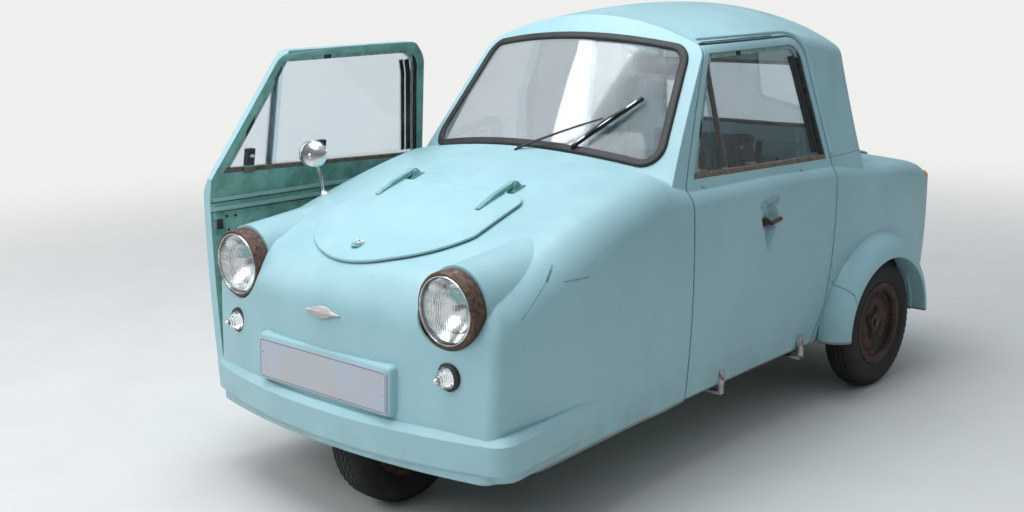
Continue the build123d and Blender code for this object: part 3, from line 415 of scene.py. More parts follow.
class Finish:
    """One material with its node tree, and short calls for the nodes it is made of."""

    def __init__(self, name, colour, roughness, metallic=0.0):
        self.material = bpy.data.materials.new(name)
        self.material.use_nodes = True
        self.tree = self.material.node_tree
        self.shader = self.tree.nodes["Principled BSDF"]
        self.base = (*colour, 1)
        self.set(**{"Base Color": self.base, "Roughness": roughness, "Metallic": metallic})
        self.material.diffuse_color = self.base
        self.place = self.node("ShaderNodeTexCoord").outputs["Object"]
        self.height = self.node("ShaderNodeSeparateXYZ", {0: self.place}).outputs["Z"]

    def set(self, **values):
        """Values on the shader's own sockets."""
        for key, value in values.items():
            self.shader.inputs[key].default_value = value

    def node(self, kind, inputs=None, **settings):
        """New node in this material."""
        return add_node(self.tree, kind, inputs, **settings)

    def noise(self, scale, detail=4.0, rough=0.55, stretch=None):
        """Noise on the piece's own coordinates, stretched along an axis where asked."""
        place = self.place
        if stretch:
            place = self.node("ShaderNodeMapping", {"Vector": place, "Scale": stretch}).outputs[0]
        inputs = {"Vector": place, "Scale": scale, "Detail": detail, "Roughness": rough}
        return self.node("ShaderNodeTexNoise", inputs).outputs[0]

    def calc(self, kind, first, second=0.0):
        """Sum, product or other result of two numbers."""
        return self.node("ShaderNodeMath", {0: first, 1: second}, operation=kind).outputs[0]

    def product(self, first, second):
        """One number times another."""
        return self.calc("MULTIPLY", first, second)

    def ramp(self, value, low, high, kind="SMOOTHSTEP"):
        """0 below low and 1 above high."""
        inputs = {"Value": value, "From Min": low, "From Max": high}
        return self.node("ShaderNodeMapRange", inputs, interpolation_type=kind, clamp=True).outputs[0]

    def below(self, value, low, high):
        """1 below low and 0 above high."""
        return self.calc("SUBTRACT", 1.0, self.ramp(value, low, high))

    def within(self, value, half, soft):
        """1 within half a width on either side of zero, fading to 0."""
        return self.below(self.calc("ABSOLUTE", value), half, half + soft)

    def patches(self, low, high, scale, detail=4.0, rough=0.55, stretch=None):
        """Noise made into patches: 0 where it is below low and 1 where it is above high."""
        return self.ramp(self.noise(scale, detail, rough, stretch), low, high)

    def mix(self, share, first, second, strength=None):
        """Colour between two by a share, which a strength can lower."""
        if strength is not None:
            share = self.product(share, strength)
        return mix_colours(self.tree, share, first, second)

    def vector(self, kind, first, second, output=0):
        """Result of a vector operation on two vectors."""
        return self.node("ShaderNodeVectorMath", {0: first, 1: tuple(second)}, operation=kind).outputs[output]

    def along(self, direction, offset):
        """Signed distance from a plane with that normal."""
        return self.calc("SUBTRACT", self.vector("DOT_PRODUCT", self.place, direction, "Value"), offset)

    def stroke(self, start, end, width, soft):
        """1 along a straight stroke on the car's side, given as (y, z), fading to 0 beside it."""
        sideways = (0, 1, 1)
        first = at(0, *start) * sideways
        reach = at(0, *end) * sideways - first
        off = self.vector("SUBTRACT", self.vector("MULTIPLY", self.place, sideways), first)
        share = self.vector("DOT_PRODUCT", off, reach / reach.dot(reach), "Value")
        inputs = {0: tuple(reach), "Scale": self.ramp(share, 0.0, 1.0, "LINEAR")}
        foot = self.node("ShaderNodeVectorMath", inputs, operation="SCALE").outputs[0]
        away = self.node("ShaderNodeVectorMath", {0: off, 1: foot}, operation="DISTANCE").outputs["Value"]
        return self.below(away, width, width + soft)

    def facing(self, direction, low, high):
        """1 where the surface faces a direction."""
        normal = self.node("ShaderNodeNewGeometry").outputs["Normal"]
        return self.ramp(self.vector("DOT_PRODUCT", normal, direction, "Value"), low, high)

    def colour(self, value):
        """The shader's base colour, from a socket."""
        self.tree.links.new(value, self.shader.inputs["Base Color"])

    def vary(self, base, pattern, share, socket="Roughness"):
        """Roughness, or another socket, as a base plus a share of a pattern."""
        self.tree.links.new(self.calc("ADD", base, self.product(pattern, share)), self.shader.inputs[socket])

    def bump(self, *layers, soften=0.0):
        """Bump from (height, distance) layers in turn, over edges softened by a radius."""
        normal = None
        if soften:
            normal = self.node("ShaderNodeBevel", {"Radius": soften}, samples=4).outputs[0]
        for height, distance in layers:
            inputs = {"Height": height, "Distance": distance, "Strength": 1.0}
            if normal:
                inputs["Normal"] = normal
            normal = self.node("ShaderNodeBump", inputs).outputs[0]
        self.tree.links.new(normal, self.shader.inputs["Normal"])


def shade(colour, factor):
    """Colour made lighter or darker, with its alpha kept."""
    return tuple(min(1.0, channel * factor) for channel in colour[:3]) + (1,)


DIRT = (0.10, 0.075, 0.05, 1)
RUST = (0.16, 0.055, 0.022, 1)
DEEP_RUST = (0.055, 0.024, 0.014, 1)
DARK_MARK = (0.045, 0.055, 0.05, 1)

# Marks on the left side as (start, end, half width, strength), each end given as (y, z)
WING_MARKS = (
    ((-0.927, 0.758), (-0.965, 0.728), 0.0016, 0.75),
    ((-0.965, 0.728), (-1.081, 0.654), 0.0009, 0.55),
    ((-0.909, 0.717), (-0.817, 0.713), 0.0012, 0.55),
)
REAR_MARKS = (
    ((0.483, 0.475), (0.499, 0.452), 0.0010, 0.8),
    ((0.502, 0.496), (0.512, 0.470), 0.0009, 0.7),
    ((0.515, 0.440), (0.556, 0.388), 0.0011, 0.8),
    ((0.556, 0.388), (0.562, 0.350), 0.0009, 0.7),
)
DOOR_MARKS = (
    ((0.050, 0.766), (0.128, 0.779), 0.009, 0.42),
    ((0.055, 0.705), (0.110, 0.690), 0.006, 0.35),
    ((-0.242, 0.866), (-0.226, 0.858), 0.0015, 0.8),
    ((0.300, 0.846), (0.312, 0.840), 0.0015, 0.8),
)


def body_paint(name, door=0, worn=1.0, soften=0.005, marks=(), seam=False):
    """Paint on glass fibre: chalky patches, streaks, scuffs, small chips and road dirt low down.

    Door is 1 for the left door and -1 for the open right one, which have a lining on their inner side.
    """
    settings = bpy.context.scene.car_body
    finish = Finish(name, settings.paint, 0.42)
    wear = settings.wear * worn
    broad = finish.patches(0.35, 0.68, 1.6, 3)
    colour = finish.mix(broad, shade(finish.base, 0.93), shade(finish.base, 1.05))
    chalk = finish.patches(0.46, 0.72, 7.0, 7, 0.62)
    colour = finish.mix(chalk, colour, (0.46, 0.63, 0.66, 1), 0.16)
    streaks = finish.patches(0.55, 0.78, 1.0, 6, 0.6, (16, 16, 1.1))
    colour = finish.mix(streaks, colour, (0.20, 0.36, 0.36, 1), 0.16 * wear)
    scuffs = finish.patches(0.66, 0.72, 30.0, 8, 0.7, (1, 1, 2.2))
    scuffs = finish.product(scuffs, finish.patches(0.52, 0.66, 3.1, 2))
    colour = finish.mix(scuffs, colour, (0.24, 0.38, 0.37, 1), 0.42 * wear)
    chips = finish.product(finish.patches(0.735, 0.75, 105.0, 3, 0.5), finish.patches(0.53, 0.6, 6.3, 3))
    colour = finish.mix(chips, colour, (0.16, 0.14, 0.11, 1), min(1.0, 0.8 * wear))
    dirt = finish.product(finish.below(finish.height, 0.235, 0.36), finish.patches(0.36, 0.7, 11.0, 6, 0.6))
    colour = finish.mix(dirt, colour, DIRT, 0.20)
    colour = finish.mix(finish.below(finish.height, 0.229, 0.238), colour, (0.17, 0.12, 0.06, 1), 0.7)
    if marks:
        left_side = finish.ramp(finish.along((1, 0, 0), CENTRE_X + 0.30), 0.0, 0.01)
        broken = finish.product(finish.patches(0.22, 0.60, 40.0, 4), left_side)
        for start, end, width, strength in marks:
            mark = finish.product(finish.stroke(start, end, width, width * 1.6), broken)
            colour = finish.mix(mark, colour, DARK_MARK, strength)
    if seam:
        line = finish.within(finish.along((0, 0, 1), ROOF_JOINT_Z), 0.0006, 0.0012)
        behind = finish.ramp(finish.along((0, 1, 0), CENTRE_Y + ROOF_JOINT_Y), 0.0, 0.005)
        colour = finish.mix(finish.product(line, behind), colour, (0.08, 0.12, 0.12, 1), 0.7)
    if door:
        # Inner side: stained lining, with painted light on its pressed strips and painted shade in the
        # grooves below them.
        colour = finish.mix(finish.facing(DOOR_INWARD[door], 0.25, 0.45), colour, door_lining_with_painted_light(finish, door))
    finish.colour(colour)
    finish.vary(0.34, chalk, 0.16)
    finish.set(**{"Coat Weight": 0.10, "Coat Roughness": 0.25})
    layers = ((finish.noise(4.2, 2), 0.010), (finish.noise(60.0, 4), 0.0006), (chips, -0.0006))
    finish.bump(*layers, soften=soften)
    return finish


def door_lining_with_painted_light(finish, side):
    """Stained inner paint of a door, with two pale strips that are painted light on its pressed ridges, each
    with a dark groove below that is painted shade.
    """
    inner = (*bpy.context.scene.car_body.inner_paint, 1)
    lining = finish.mix(finish.patches(0.38, 0.66, 13.0, 7, 0.65), inner, shade(inner, 0.62))
    lining = finish.mix(finish.patches(0.66, 0.74, 34.0, 8, 0.7), lining, (0.24, 0.20, 0.15, 1), 0.4)
    level = finish.along(*door_plane(side, at(0.517, 0, 0), (0, 0, 1)))
    # Painted light and shade: each pressed ridge gets a pale strip, and the dark groove below it is painted
    # shade.
    for low in (0.770, 0.800):
        strip = finish.below(level, low + 0.012, low + 0.0128)
        strip = finish.product(strip, finish.ramp(level, low - 0.0008, low))
        lining = finish.mix(strip, lining, (0.36, 0.55, 0.50, 1), 0.75)
        groove = finish.within(finish.calc("SUBTRACT", level, low - 0.0035), 0.0014, 0.0012)
        lining = finish.mix(groove, lining, (0.03, 0.045, 0.04, 1), 0.85)
    return lining


def lid_paint():
    """Paint of the bonnet lid, with its two hinge arms in a darker green."""
    finish = body_paint("Lid paint", worn=0.6, soften=0.003)
    painted = finish.shader.inputs["Base Color"].links[0].from_socket
    across = finish.calc("ABSOLUTE", finish.along((1, 0, 0), CENTRE_X))
    arm = finish.within(finish.calc("SUBTRACT", across, 0.207), 0.0082, 0.0006)
    arm = finish.product(arm, finish.ramp(finish.along((0, 1, 0), CENTRE_Y - 0.853), 0.0, 0.001))
    tone = finish.mix(finish.patches(0.4, 0.68, 50.0, 6), (0.15, 0.36, 0.35, 1), (0.23, 0.46, 0.45, 1))
    finish.colour(finish.mix(arm, painted, tone))
    return finish


def window_channel():
    """Channel round a side window: tan below, black behind, else pale, with dark catches and divider."""
    finish = Finish("Window channel", (0.30, 0.42, 0.38), 0.6)
    grime = finish.patches(0.42, 0.66, 60.0, 6, 0.7)
    colour = finish.mix(grime, finish.base, (0.17, 0.24, 0.22, 1))
    tan = finish.mix(grime, (0.20, 0.15, 0.11, 1), (0.10, 0.075, 0.055, 1))
    black = finish.mix(grime, (0.012, 0.012, 0.013, 1), (0.05, 0.048, 0.046, 1))
    bars = [(y, 0.0134, black) for y in CATCHES_Y] + [(DIVIDER_Y, 0.0105, (0.075, 0.065, 0.055, 1))]
    for side in (1, -1):
        here = finish.ramp(finish.along((side, 0, 0), side * CENTRE_X), 0.0, 0.01)
        above = finish.along(*door_plane(side, at(0.5, 0.1, 0.8909), (0, 0.0402, 1)))
        behind = finish.along(*door_plane(side, at(0.5, 0.416, 1.160), (0, 1, 0.1467)))
        standing = finish.product(here, finish.ramp(above, 0.004, 0.006))
        for y, half, tone in bars:
            bar = finish.within(finish.along(*door_plane(side, at(0.5, y, 0.92), (0, 1, 0))), half, 0.0004)
            colour = finish.mix(finish.product(standing, bar), colour, tone)
        colour = finish.mix(finish.product(here, finish.ramp(behind, -0.004, -0.0025)), colour, black)
        colour = finish.mix(finish.product(here, finish.below(above, 0.0, 0.0015)), colour, tan)
    finish.colour(colour)
    finish.vary(0.5, grime, 0.25)
    finish.bump((finish.noise(120.0, 5), 0.0004), soften=0.001)
    return finish


def painted_steel(name, colour, rust_share):
    """Worn paint on steel, with rust spreading from its chips."""
    finish = Finish(name, colour, 0.55)
    tone = finish.mix(finish.patches(0.35, 0.7, 18.0, 5), shade(finish.base, 0.75), shade(finish.base, 1.2))
    rusty = finish.patches(0.66 - 0.3 * rust_share, 0.74 - 0.3 * rust_share, 26.0, 8, 0.66)
    rust = finish.mix(finish.patches(0.4, 0.65, 95.0, 6, 0.7), RUST, DEEP_RUST)
    finish.colour(finish.mix(rusty, tone, rust))
    finish.vary(0.45, rusty, 0.4)
    finish.bump((finish.noise(140.0, 5), 0.0005), (rusty, 0.0004), soften=0.0015)
    return finish


def rusty_plate():
    """Bare rusty steel of the rims: brown, with darker scale and a few paler rubbed places."""
    finish = Finish("Rusty rim steel", (0.060, 0.034, 0.025), 0.75)
    scale = finish.patches(0.35, 0.68, 15.0, 7, 0.65)
    tone = finish.mix(scale, (0.026, 0.019, 0.017, 1), (0.085, 0.042, 0.027, 1))
    tone = finish.mix(finish.patches(0.60, 0.72, 46.0, 6, 0.7), tone, (0.15, 0.075, 0.045, 1))
    finish.colour(finish.mix(finish.patches(0.58, 0.70, 9.0, 4), tone, (0.11, 0.10, 0.09, 1), 0.4))
    finish.vary(0.62, finish.noise(70.0), 0.3)
    finish.bump((finish.noise(170.0, 6, 0.7), 0.0008), (finish.noise(38.0, 5), 0.0008), soften=0.0015)
    return finish


def lamp_rim_steel():
    """Headlamp rim: old plating gone brown, pitted, with a few paler patches."""
    finish = Finish("Corroded lamp rim", (0.16, 0.10, 0.075), 0.5, 0.55)
    brown = finish.patches(0.36, 0.66, 60.0, 7, 0.7)
    tone = finish.mix(brown, (0.085, 0.048, 0.035, 1), (0.185, 0.115, 0.085, 1))
    finish.colour(finish.mix(finish.patches(0.60, 0.70, 34.0, 6, 0.65), tone, (0.34, 0.29, 0.26, 1)))
    finish.vary(0.30, finish.noise(80.0, 6), 0.5)
    finish.bump((finish.noise(210.0, 5, 0.7), 0.0006), soften=0.001)
    return finish


def chrome_plate(name, pitted=0.3):
    """Plating with small brown pits and a slight haze."""
    finish = Finish(name, (0.78, 0.79, 0.80), 0.10, 1.0)
    pits = finish.patches(0.72 - 0.12 * pitted, 0.74, 230.0, 4, 0.6)
    tone = finish.mix(pits, finish.base, (0.14, 0.075, 0.045, 1))
    finish.colour(finish.mix(finish.patches(0.5, 0.75, 12.0, 5), tone, (0.50, 0.49, 0.47, 1)))
    finish.vary(0.08, finish.noise(40.0, 6), 0.22)
    finish.bump((finish.noise(35.0, 3), 0.0003), (pits, -0.0002), soften=0.0008)
    return finish


def soft_rubber():
    """Weathered rubber: grey bloom over black, fine cracks and dust."""
    finish = Finish("Window rubber", (0.016, 0.016, 0.017), 0.6)
    bloom = finish.patches(0.42, 0.72, 22.0, 6, 0.6)
    finish.colour(finish.mix(bloom, finish.base, (0.055, 0.054, 0.050, 1), 0.6))
    finish.vary(0.52, bloom, 0.2)
    finish.bump((finish.noise(260.0, 5), 0.0003))
    return finish


def road_rubber():
    """Tyre rubber: black, with brown dust in patches."""
    finish = Finish("Road rubber", (0.014, 0.0135, 0.013), 0.85)
    dust = finish.patches(0.40, 0.70, 14.0, 7, 0.62)
    finish.colour(finish.mix(dust, finish.base, (0.048, 0.043, 0.037, 1), 0.5))
    finish.vary(0.76, dust, 0.16)
    finish.bump((finish.noise(300.0, 4), 0.0004))
    return finish


def clear_glass():
    """Glass with a slight blue tint, and a film of dust that lets less through."""
    finish = Finish("Window glass", (0.54, 0.70, 0.81), 0.02)
    finish.set(**{"Transmission Weight": 1.0, "IOR": 1.45})
    film = finish.patches(0.35, 0.75, 3.0, 6, 0.6)
    finish.vary(0.015, film, 0.05)
    finish.vary(0.46, film, 0.08, "Alpha")
    finish.bump((finish.noise(2.0, 2), 0.0002))
    return finish


def lamp_glass():
    """Pressed lamp glass, clear with a grey cast."""
    finish = Finish("Lamp glass", (0.93, 0.95, 0.95), 0.06)
    finish.set(**{"Transmission Weight": 1.0, "IOR": 1.5})
    finish.vary(0.04, finish.patches(0.45, 0.75, 60.0, 5), 0.10)
    finish.bump((finish.noise(90.0, 3), 0.0003))
    return finish


def moulded_plastic():
    """Black moulded plastic with a fine grain and rubbed patches."""
    finish = Finish("Black moulding", (0.018, 0.018, 0.018), 0.5)
    finish.colour(finish.mix(finish.patches(0.4, 0.7, 17.0, 5), finish.base, shade(finish.base, 1.5)))
    finish.vary(0.44, finish.noise(40.0), 0.15)
    finish.bump((finish.noise(320.0, 3), 0.00025), soften=0.0012)
    return finish


def tail_lens():
    """Upright tail lens: amber above and red below, ribbed."""
    low, high = corners("tail_lamps")
    rise = high[2] - low[2]
    finish = Finish("Tail lens", (0.60, 0.06, 0.02), 0.16)
    upper = finish.ramp(finish.height, low[2] + rise * 0.60, low[2] + rise * 0.61)
    finish.colour(finish.mix(upper, (0.50, 0.012, 0.008, 1), (0.75, 0.20, 0.015, 1)))
    finish.vary(0.14, finish.noise(50.0), 0.12)
    finish.set(**{"Coat Weight": 0.6})
    ribs = finish.calc("SINE", finish.product(finish.height, 1400.0))
    finish.bump((ribs, 0.0004), soften=0.003)
    return finish


def number_plate_in_painted_shade():
    """Blank dull plate with pale patches and specks of dirt; its blue grey base colour is partly painted
    shade and blue sky light.
    """
    # Painted shade: the base colour is darker and bluer than the plate's own colour, standing in for shade
    # and blue sky light.
    finish = Finish("Blank plate in painted shade", (0.46, 0.49, 0.57), 0.38)
    tone = finish.mix(finish.patches(0.4, 0.75, 9.0, 6), finish.base, (0.48, 0.48, 0.47, 1))
    finish.colour(finish.mix(finish.patches(0.62, 0.7, 70.0, 6, 0.7), tone, (0.30, 0.28, 0.24, 1), 0.5))
    finish.vary(0.30, finish.noise(30.0), 0.2)
    finish.bump((finish.noise(150.0, 3), 0.0002), soften=0.0012)
    return finish


def seat_cover():
    """Dark grain cloth of the seat."""
    finish = Finish("Seat cover", bpy.context.scene.car_seat.cover, 0.72)
    weave = finish.node("ShaderNodeTexVoronoi", {"Vector": finish.place, "Scale": 620.0}).outputs["Distance"]
    tone = finish.mix(finish.patches(0.38, 0.7, 11.0, 6), shade(finish.base, 0.8), shade(finish.base, 1.9))
    finish.colour(finish.mix(finish.ramp(weave, 0.1, 0.7), tone, shade(finish.base, 0.6)))
    finish.vary(0.60, weave, 0.25)
    finish.set(**{"Sheen Weight": 0.15})
    finish.bump((weave, 0.0004), (finish.noise(30.0, 5), 0.0012))
    return finish


def cast_metal():
    """Oily cast alloy of the engine block."""
    finish = Finish("Cast alloy", (0.20, 0.20, 0.19), 0.6, 0.6)
    oil = finish.patches(0.4, 0.68, 8.0, 6)
    finish.colour(finish.mix(oil, finish.base, (0.035, 0.028, 0.022, 1)))
    finish.vary(0.68, oil, -0.25)
    finish.bump((finish.noise(190.0, 4), 0.0008), soften=0.004)
    return finish


def mirror_face():
    """Silvered face of a mirror."""
    finish = Finish("Mirror face", (0.86, 0.88, 0.88), 0.03, 1.0)
    finish.vary(0.02, finish.patches(0.5, 0.8, 20.0, 5), 0.12)
    return finish


finishes = {}

FINISH_OF_NODES = {
    "paint": ("body_front", "engine_lid"),
    "rear_paint": ("body_rear", "roof"),
    "lid": ("bonnet_lid",),
    "door": ("door_left",),
    "open_door": ("door_right",),
    "inner": ("floor_pan", "front_tray", "dashboard"),
    "hinge": ("lid_hinges",),
    "black": ("chassis", "wheel_wells", "towing_eye", "steering_fork", "seat_frame", "rear_arms",
              "rear_dampers", "door_rails"),
    "hook": ("door_hooks",),
    "rim": ("rim_front", "rim_rear_left", "rim_rear_right"),
    "lamp_rim": ("headlamp_rims", "door_handles"),
    "chrome": ("wing_mirror",),
    "badge": ("badge",),
    "rubber": ("window_seals", "side_lamp_bases"),
    "channel": ("door_channels",),
    "tyre": ("tyre_front", "tyre_rear_left", "tyre_rear_right"),
    "window": ("windows", "door_panes"),
    "lamp": ("headlamp_lenses", "side_lamp_lenses"),
    "plastic": ("wiper", "inner_mirror", "tiller"),
    "tail": ("tail_lamps",),
    # The plate finish's colour is partly painted shade and blue sky light; the bulbs, catch knobs and dial
    # needles share it.
    "plate": ("plates",),
    "cover": ("seat_cushion", "seat_back"),
    "engine": ("engine",),
}


# Operators, one for each piece or group of like pieces


class CAR_OT_finishes(bpy.types.Operator):
    """Makes the paints, metals, rubbers and glasses, and gives each CAD node its own"""
    bl_idname = "car.finishes"
    bl_label = "Finishes"

    def execute(self, context):
        finishes.update(
            paint=body_paint("Turquoise paint", marks=WING_MARKS),
            rear_paint=body_paint("Rear paint", marks=REAR_MARKS, seam=True),
            lid=lid_paint(),
            door=body_paint("Door paint with painted ridge light and shade", door=1, marks=DOOR_MARKS),
            open_door=body_paint("Open door paint with painted ridge light and shade", door=-1, worn=1.4),
            inner=painted_steel("Inner panel paint", context.scene.car_body.inner_paint, 0.35),
            hinge=painted_steel("Hinge paint", (0.20, 0.42, 0.40), 0.25),
            black=painted_steel("Chassis paint", (0.022, 0.021, 0.020), 0.5),
            hook=painted_steel("Chipped hook paint", (0.50, 0.48, 0.45), 0.50),
            badge=painted_steel("Worn badge plating", (0.62, 0.55, 0.54), 0.12),
            rim=rusty_plate(),
            lamp_rim=lamp_rim_steel(),
            chrome=chrome_plate("Pitted chrome"),
            bright=chrome_plate("Bright ring", 0.0),
            rubber=soft_rubber(),
            channel=window_channel(),
            tyre=road_rubber(),
            window=clear_glass(),
            lamp=lamp_glass(),
            plastic=moulded_plastic(),
            tail=tail_lens(),
            plate=number_plate_in_painted_shade(),
            cover=seat_cover(),
            engine=cast_metal(),
            mirror=mirror_face(),
        )
        dressed = set()
        for key, names in FINISH_OF_NODES.items():
            for name in names:
                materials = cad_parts[name].data.materials
                materials.clear()
                materials.append(finishes[key].material)
                dressed.add(name)
        missed = set(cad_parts) - dressed
        if missed:
            raise RuntimeError("no finish for " + ", ".join(sorted(missed)))
        return {"FINISHED"}


class CAR_OT_tyres(bpy.types.Operator):
    """Tyres with zigzag grooves, shoulder cuts and ribbed walls"""
    bl_idname = "car.tyres"
    bl_label = "Tyres"

    def execute(self, context):
        settings = context.scene.car_wheel
        depth = settings.tread_depth
        blocks = settings.blocks
        low, high = corners("tyre_front")
        radius = (high[2] - low[2]) / 2
        half = (high[0] - low[0]) / 2
        # Rows across the tyre: place across, radius, how far the row follows the zigzag and the shoulder cuts
        wall = [(-0.0435, 0.1335, 0, 0), (-0.0440, 0.1480, 0, 0), (-0.0485, 0.1530, 0, 0),
                (-0.0530, 0.1640, 0, 0), (-0.0550, 0.1690, 0, 0), (-0.0543, 0.1700, 0, 0),
                (-half, 0.1790, 0, 0), (-0.0555, 0.1900, 0, 0), (-0.0535, 0.2010, 0, 0),
                (-0.0532, 0.2040, 0, 0.6), (-0.0515, 0.2100, 0, 1), (-0.0470, 0.2165, 0, 1),
                (-0.0420, 0.2215, 0, 1), (-0.0370, 0.2248, 0, 0)]
        tread = []
        for groove in (-0.0265, -0.0090, 0.0090, 0.0265):
            crown = radius - 0.0024 * (groove / 0.037) ** 2
            tread += [(groove - 0.0022, crown, 1, 0), (groove - 0.0014, crown - depth, 1, 0),
                      (groove + 0.0014, crown - depth, 1, 0), (groove + 0.0022, crown, 1, 0)]
        table = np.array(wall + tread + [(-row[0], *row[1:]) for row in reversed(wall)])
        steps = blocks * 8
        turn = full_turn(steps)
        phase = (turn * blocks / (2 * np.pi)) % 1.0
        zigzag = 0.0040 * (np.abs(phase - 0.5) * 4 - 1)
        cut = np.where(phase < 0.30, 0.0038, 0.0)
        across = table[:, 0, None] + table[:, 2, None] * zigzag[None]
        away = table[:, 1, None] - table[:, 3, None] * cut[None]
        ring = np.stack([across, away * np.sin(turn), away * np.cos(turn)], axis=-1)
        for name, body in WHEELS.items():
            points = sum(corners("tyre_" + name)) / 2 + ring
            parts = [(points, grid_faces(len(table), steps)), (points[[-1, 0]], grid_faces(2, steps))]
            place_mesh("tread_" + name, parts, "tyre", body, "tyre_" + name, 40)
        return {"FINISHED"}


class CAR_OT_wheel_fittings(bpy.types.Operator):
    """Nuts and valves of the rims"""
    bl_idname = "car.wheel_fittings"
    bl_label = "Wheel fittings"

    def execute(self, context):
        nuts = context.scene.car_wheel.nuts
        nut = [(0, 0), (0, 0.0115), (0.009, 0.0115), (0.012, 0.0095), (0.012, 0.005), (0.016, 0.0045),
               (0.016, 0)]
        stem = [(-0.004, 0), (-0.004, 0.0045), (0.020, 0.0035), (0.026, 0.0035), (0.026, 0)]
        for name, body in WHEELS.items():
            outward = -1 if name == "rear_right" else 1
            face = sum(corners("rim_" + name)) / 2 + X_AXIS * outward * 0.022
            parts = []
            for angle in full_turn(nuts) + 0.4:
                spot = face + 0.048 * np.array([0, np.sin(angle), np.cos(angle)])
                parts.append(lathe(nut, spot, (outward, 0, 0), 6))
            parts.append(lathe(stem, face + (0, 0.104, 0), (outward, 0.25, 0), 12))
            place_mesh("nuts_" + name, parts, "rim", body, crease=SHARP)
        return {"FINISHED"}


class CAR_OT_headlamps(bpy.types.Operator):
    """Fluted glasses, bright rings, reflectors and bulbs of the two headlamps"""
    bl_idname = "car.headlamps"
    bl_label = "Headlamps"

    def execute(self, context):
        settings = context.scene.car_lamp
        low, high = corners("headlamp_rims")
        radius = (high[2] - low[2]) / 2
        glass_radius = 0.088
        backward = (0, 1, 0)
        steps = 160
        turn = full_turn(steps)
        away = np.linspace(0, 1, 40)[:, None]
        flat_x = away * glass_radius * np.cos(turn)
        flat_z = away * glass_radius * np.sin(turn)
        bulge = np.broadcast_to(settings.dome * (1 - away**2), flat_x.shape)
        # Outer face plain, inner face with upright flutes and level bands, and a plain rim between them
        flute = 0.0011 * np.abs(np.sin(flat_x / glass_radius * np.pi * settings.flutes / 2))
        flute = flute * np.clip((1 - away) * 12, 0, 1)
        band = 0.0007 * np.abs(np.sin(flat_z / glass_radius * np.pi * 3.5))
        outer = np.stack([flat_x, -0.002 - bulge, flat_z], axis=-1)
        inner = np.stack([flat_x, 0.003 - bulge + flute + band, flat_z], axis=-1)
        ring = [(0.002, 0.0866), (-0.004, 0.0863), (-0.0066, 0.0874), (-0.0070, 0.0890), (-0.0050, 0.0905),
                (0.001, 0.0905), (0.002, 0.0866)]
        depth = np.linspace(0, 1, 24)
        bowl = np.stack([0.012 + 0.050 * (1 - depth**2), 0.006 + 0.076 * depth], axis=-1)
        back = np.stack([0.016 + 0.050 * (1 - depth**2), 0.006 + 0.080 * depth], axis=-1)
        bowl = np.concatenate([bowl, back[::-1], bowl[:1]])
        bulb = [(0.058, 0), (0.058, 0.009), (0.040, 0.009), (0.034, 0.0075), (0.028, 0.004), (0.026, 0)]
        middle_z = (low[2] + high[2]) / 2
        lamps = [np.array([x, low[1] + 0.004, middle_z]) for x in (low[0] + radius, high[0] - radius)]
        glass = []
        for lamp in lamps:
            glass += [(lamp + outer, grid_faces(40, steps)), (lamp + inner, grid_faces(40, steps)),
                      (lamp + np.stack([outer[-1], inner[-1]]), grid_faces(2, steps))]
        place_mesh("headlamp_glass", glass, "lamp", replaces="headlamp_lenses")
        rings = [lathe(ring, lamp, backward, 96) for lamp in lamps]
        place_mesh("headlamp_rings", rings, "bright", crease=40)
        bowls = [lathe(bowl, lamp, backward, 72) for lamp in lamps]
        place_mesh("headlamp_bowls", bowls, "bright", crease=40)
        bulbs = [lathe(bulb, lamp, backward, 24) for lamp in lamps]
        place_mesh("headlamp_bulbs", bulbs, "plate")
        return {"FINISHED"}


class CAR_OT_side_lamps(bpy.types.Operator):
    """Stepped conical glasses with bright noses in the rubber rings"""
    bl_idname = "car.side_lamps"
    bl_label = "Side lamps"

    def execute(self, context):
        low, high = corners("side_lamp_lenses")
        radius = (high[2] - low[2]) / 2
        reach = np.linspace(0, 1, 43)
        outline = radius * (1 - reach) ** 0.85 * 0.76 + radius * 0.24
        step = 0.0011 * np.abs(np.sin(reach * np.pi * 7))
        profile = np.stack([0.001 + 0.034 * reach, outline - 0.0012 + step], axis=-1)
        cone = np.concatenate([[(0.0002, 0)], [(0.0002, radius)], profile, [(0.036, 0)]])
        nose = [(0.033, 0), (0.033, 0.0085), (0.0365, 0.0080), (0.0395, 0.0062), (0.0418, 0.0038),
                (0.0430, 0.0015), (0.0434, 0)]
        bases = [(x, high[1], (low[2] + high[2]) / 2) for x in (low[0] + radius, high[0] - radius)]
        cones = [lathe(cone, base, (0, -1, 0), 72) for base in bases]
        place_mesh("side_lamp_glass", cones, "lamp", "root", "side_lamp_lenses", 50)
        noses = [lathe(nose, base, (0, -1, 0), 36) for base in bases]
        place_mesh("side_lamp_noses", noses, "bright")
        return {"FINISHED"}


def screen_y(x, z):
    """Windscreen face: the front of an upright cylinder that leans back with height, in at()'s own metres."""
    return -0.457 + (z - 0.923) * SCREEN_LEAN + SCREEN_BOW - np.sqrt(SCREEN_BOW**2 - x**2)


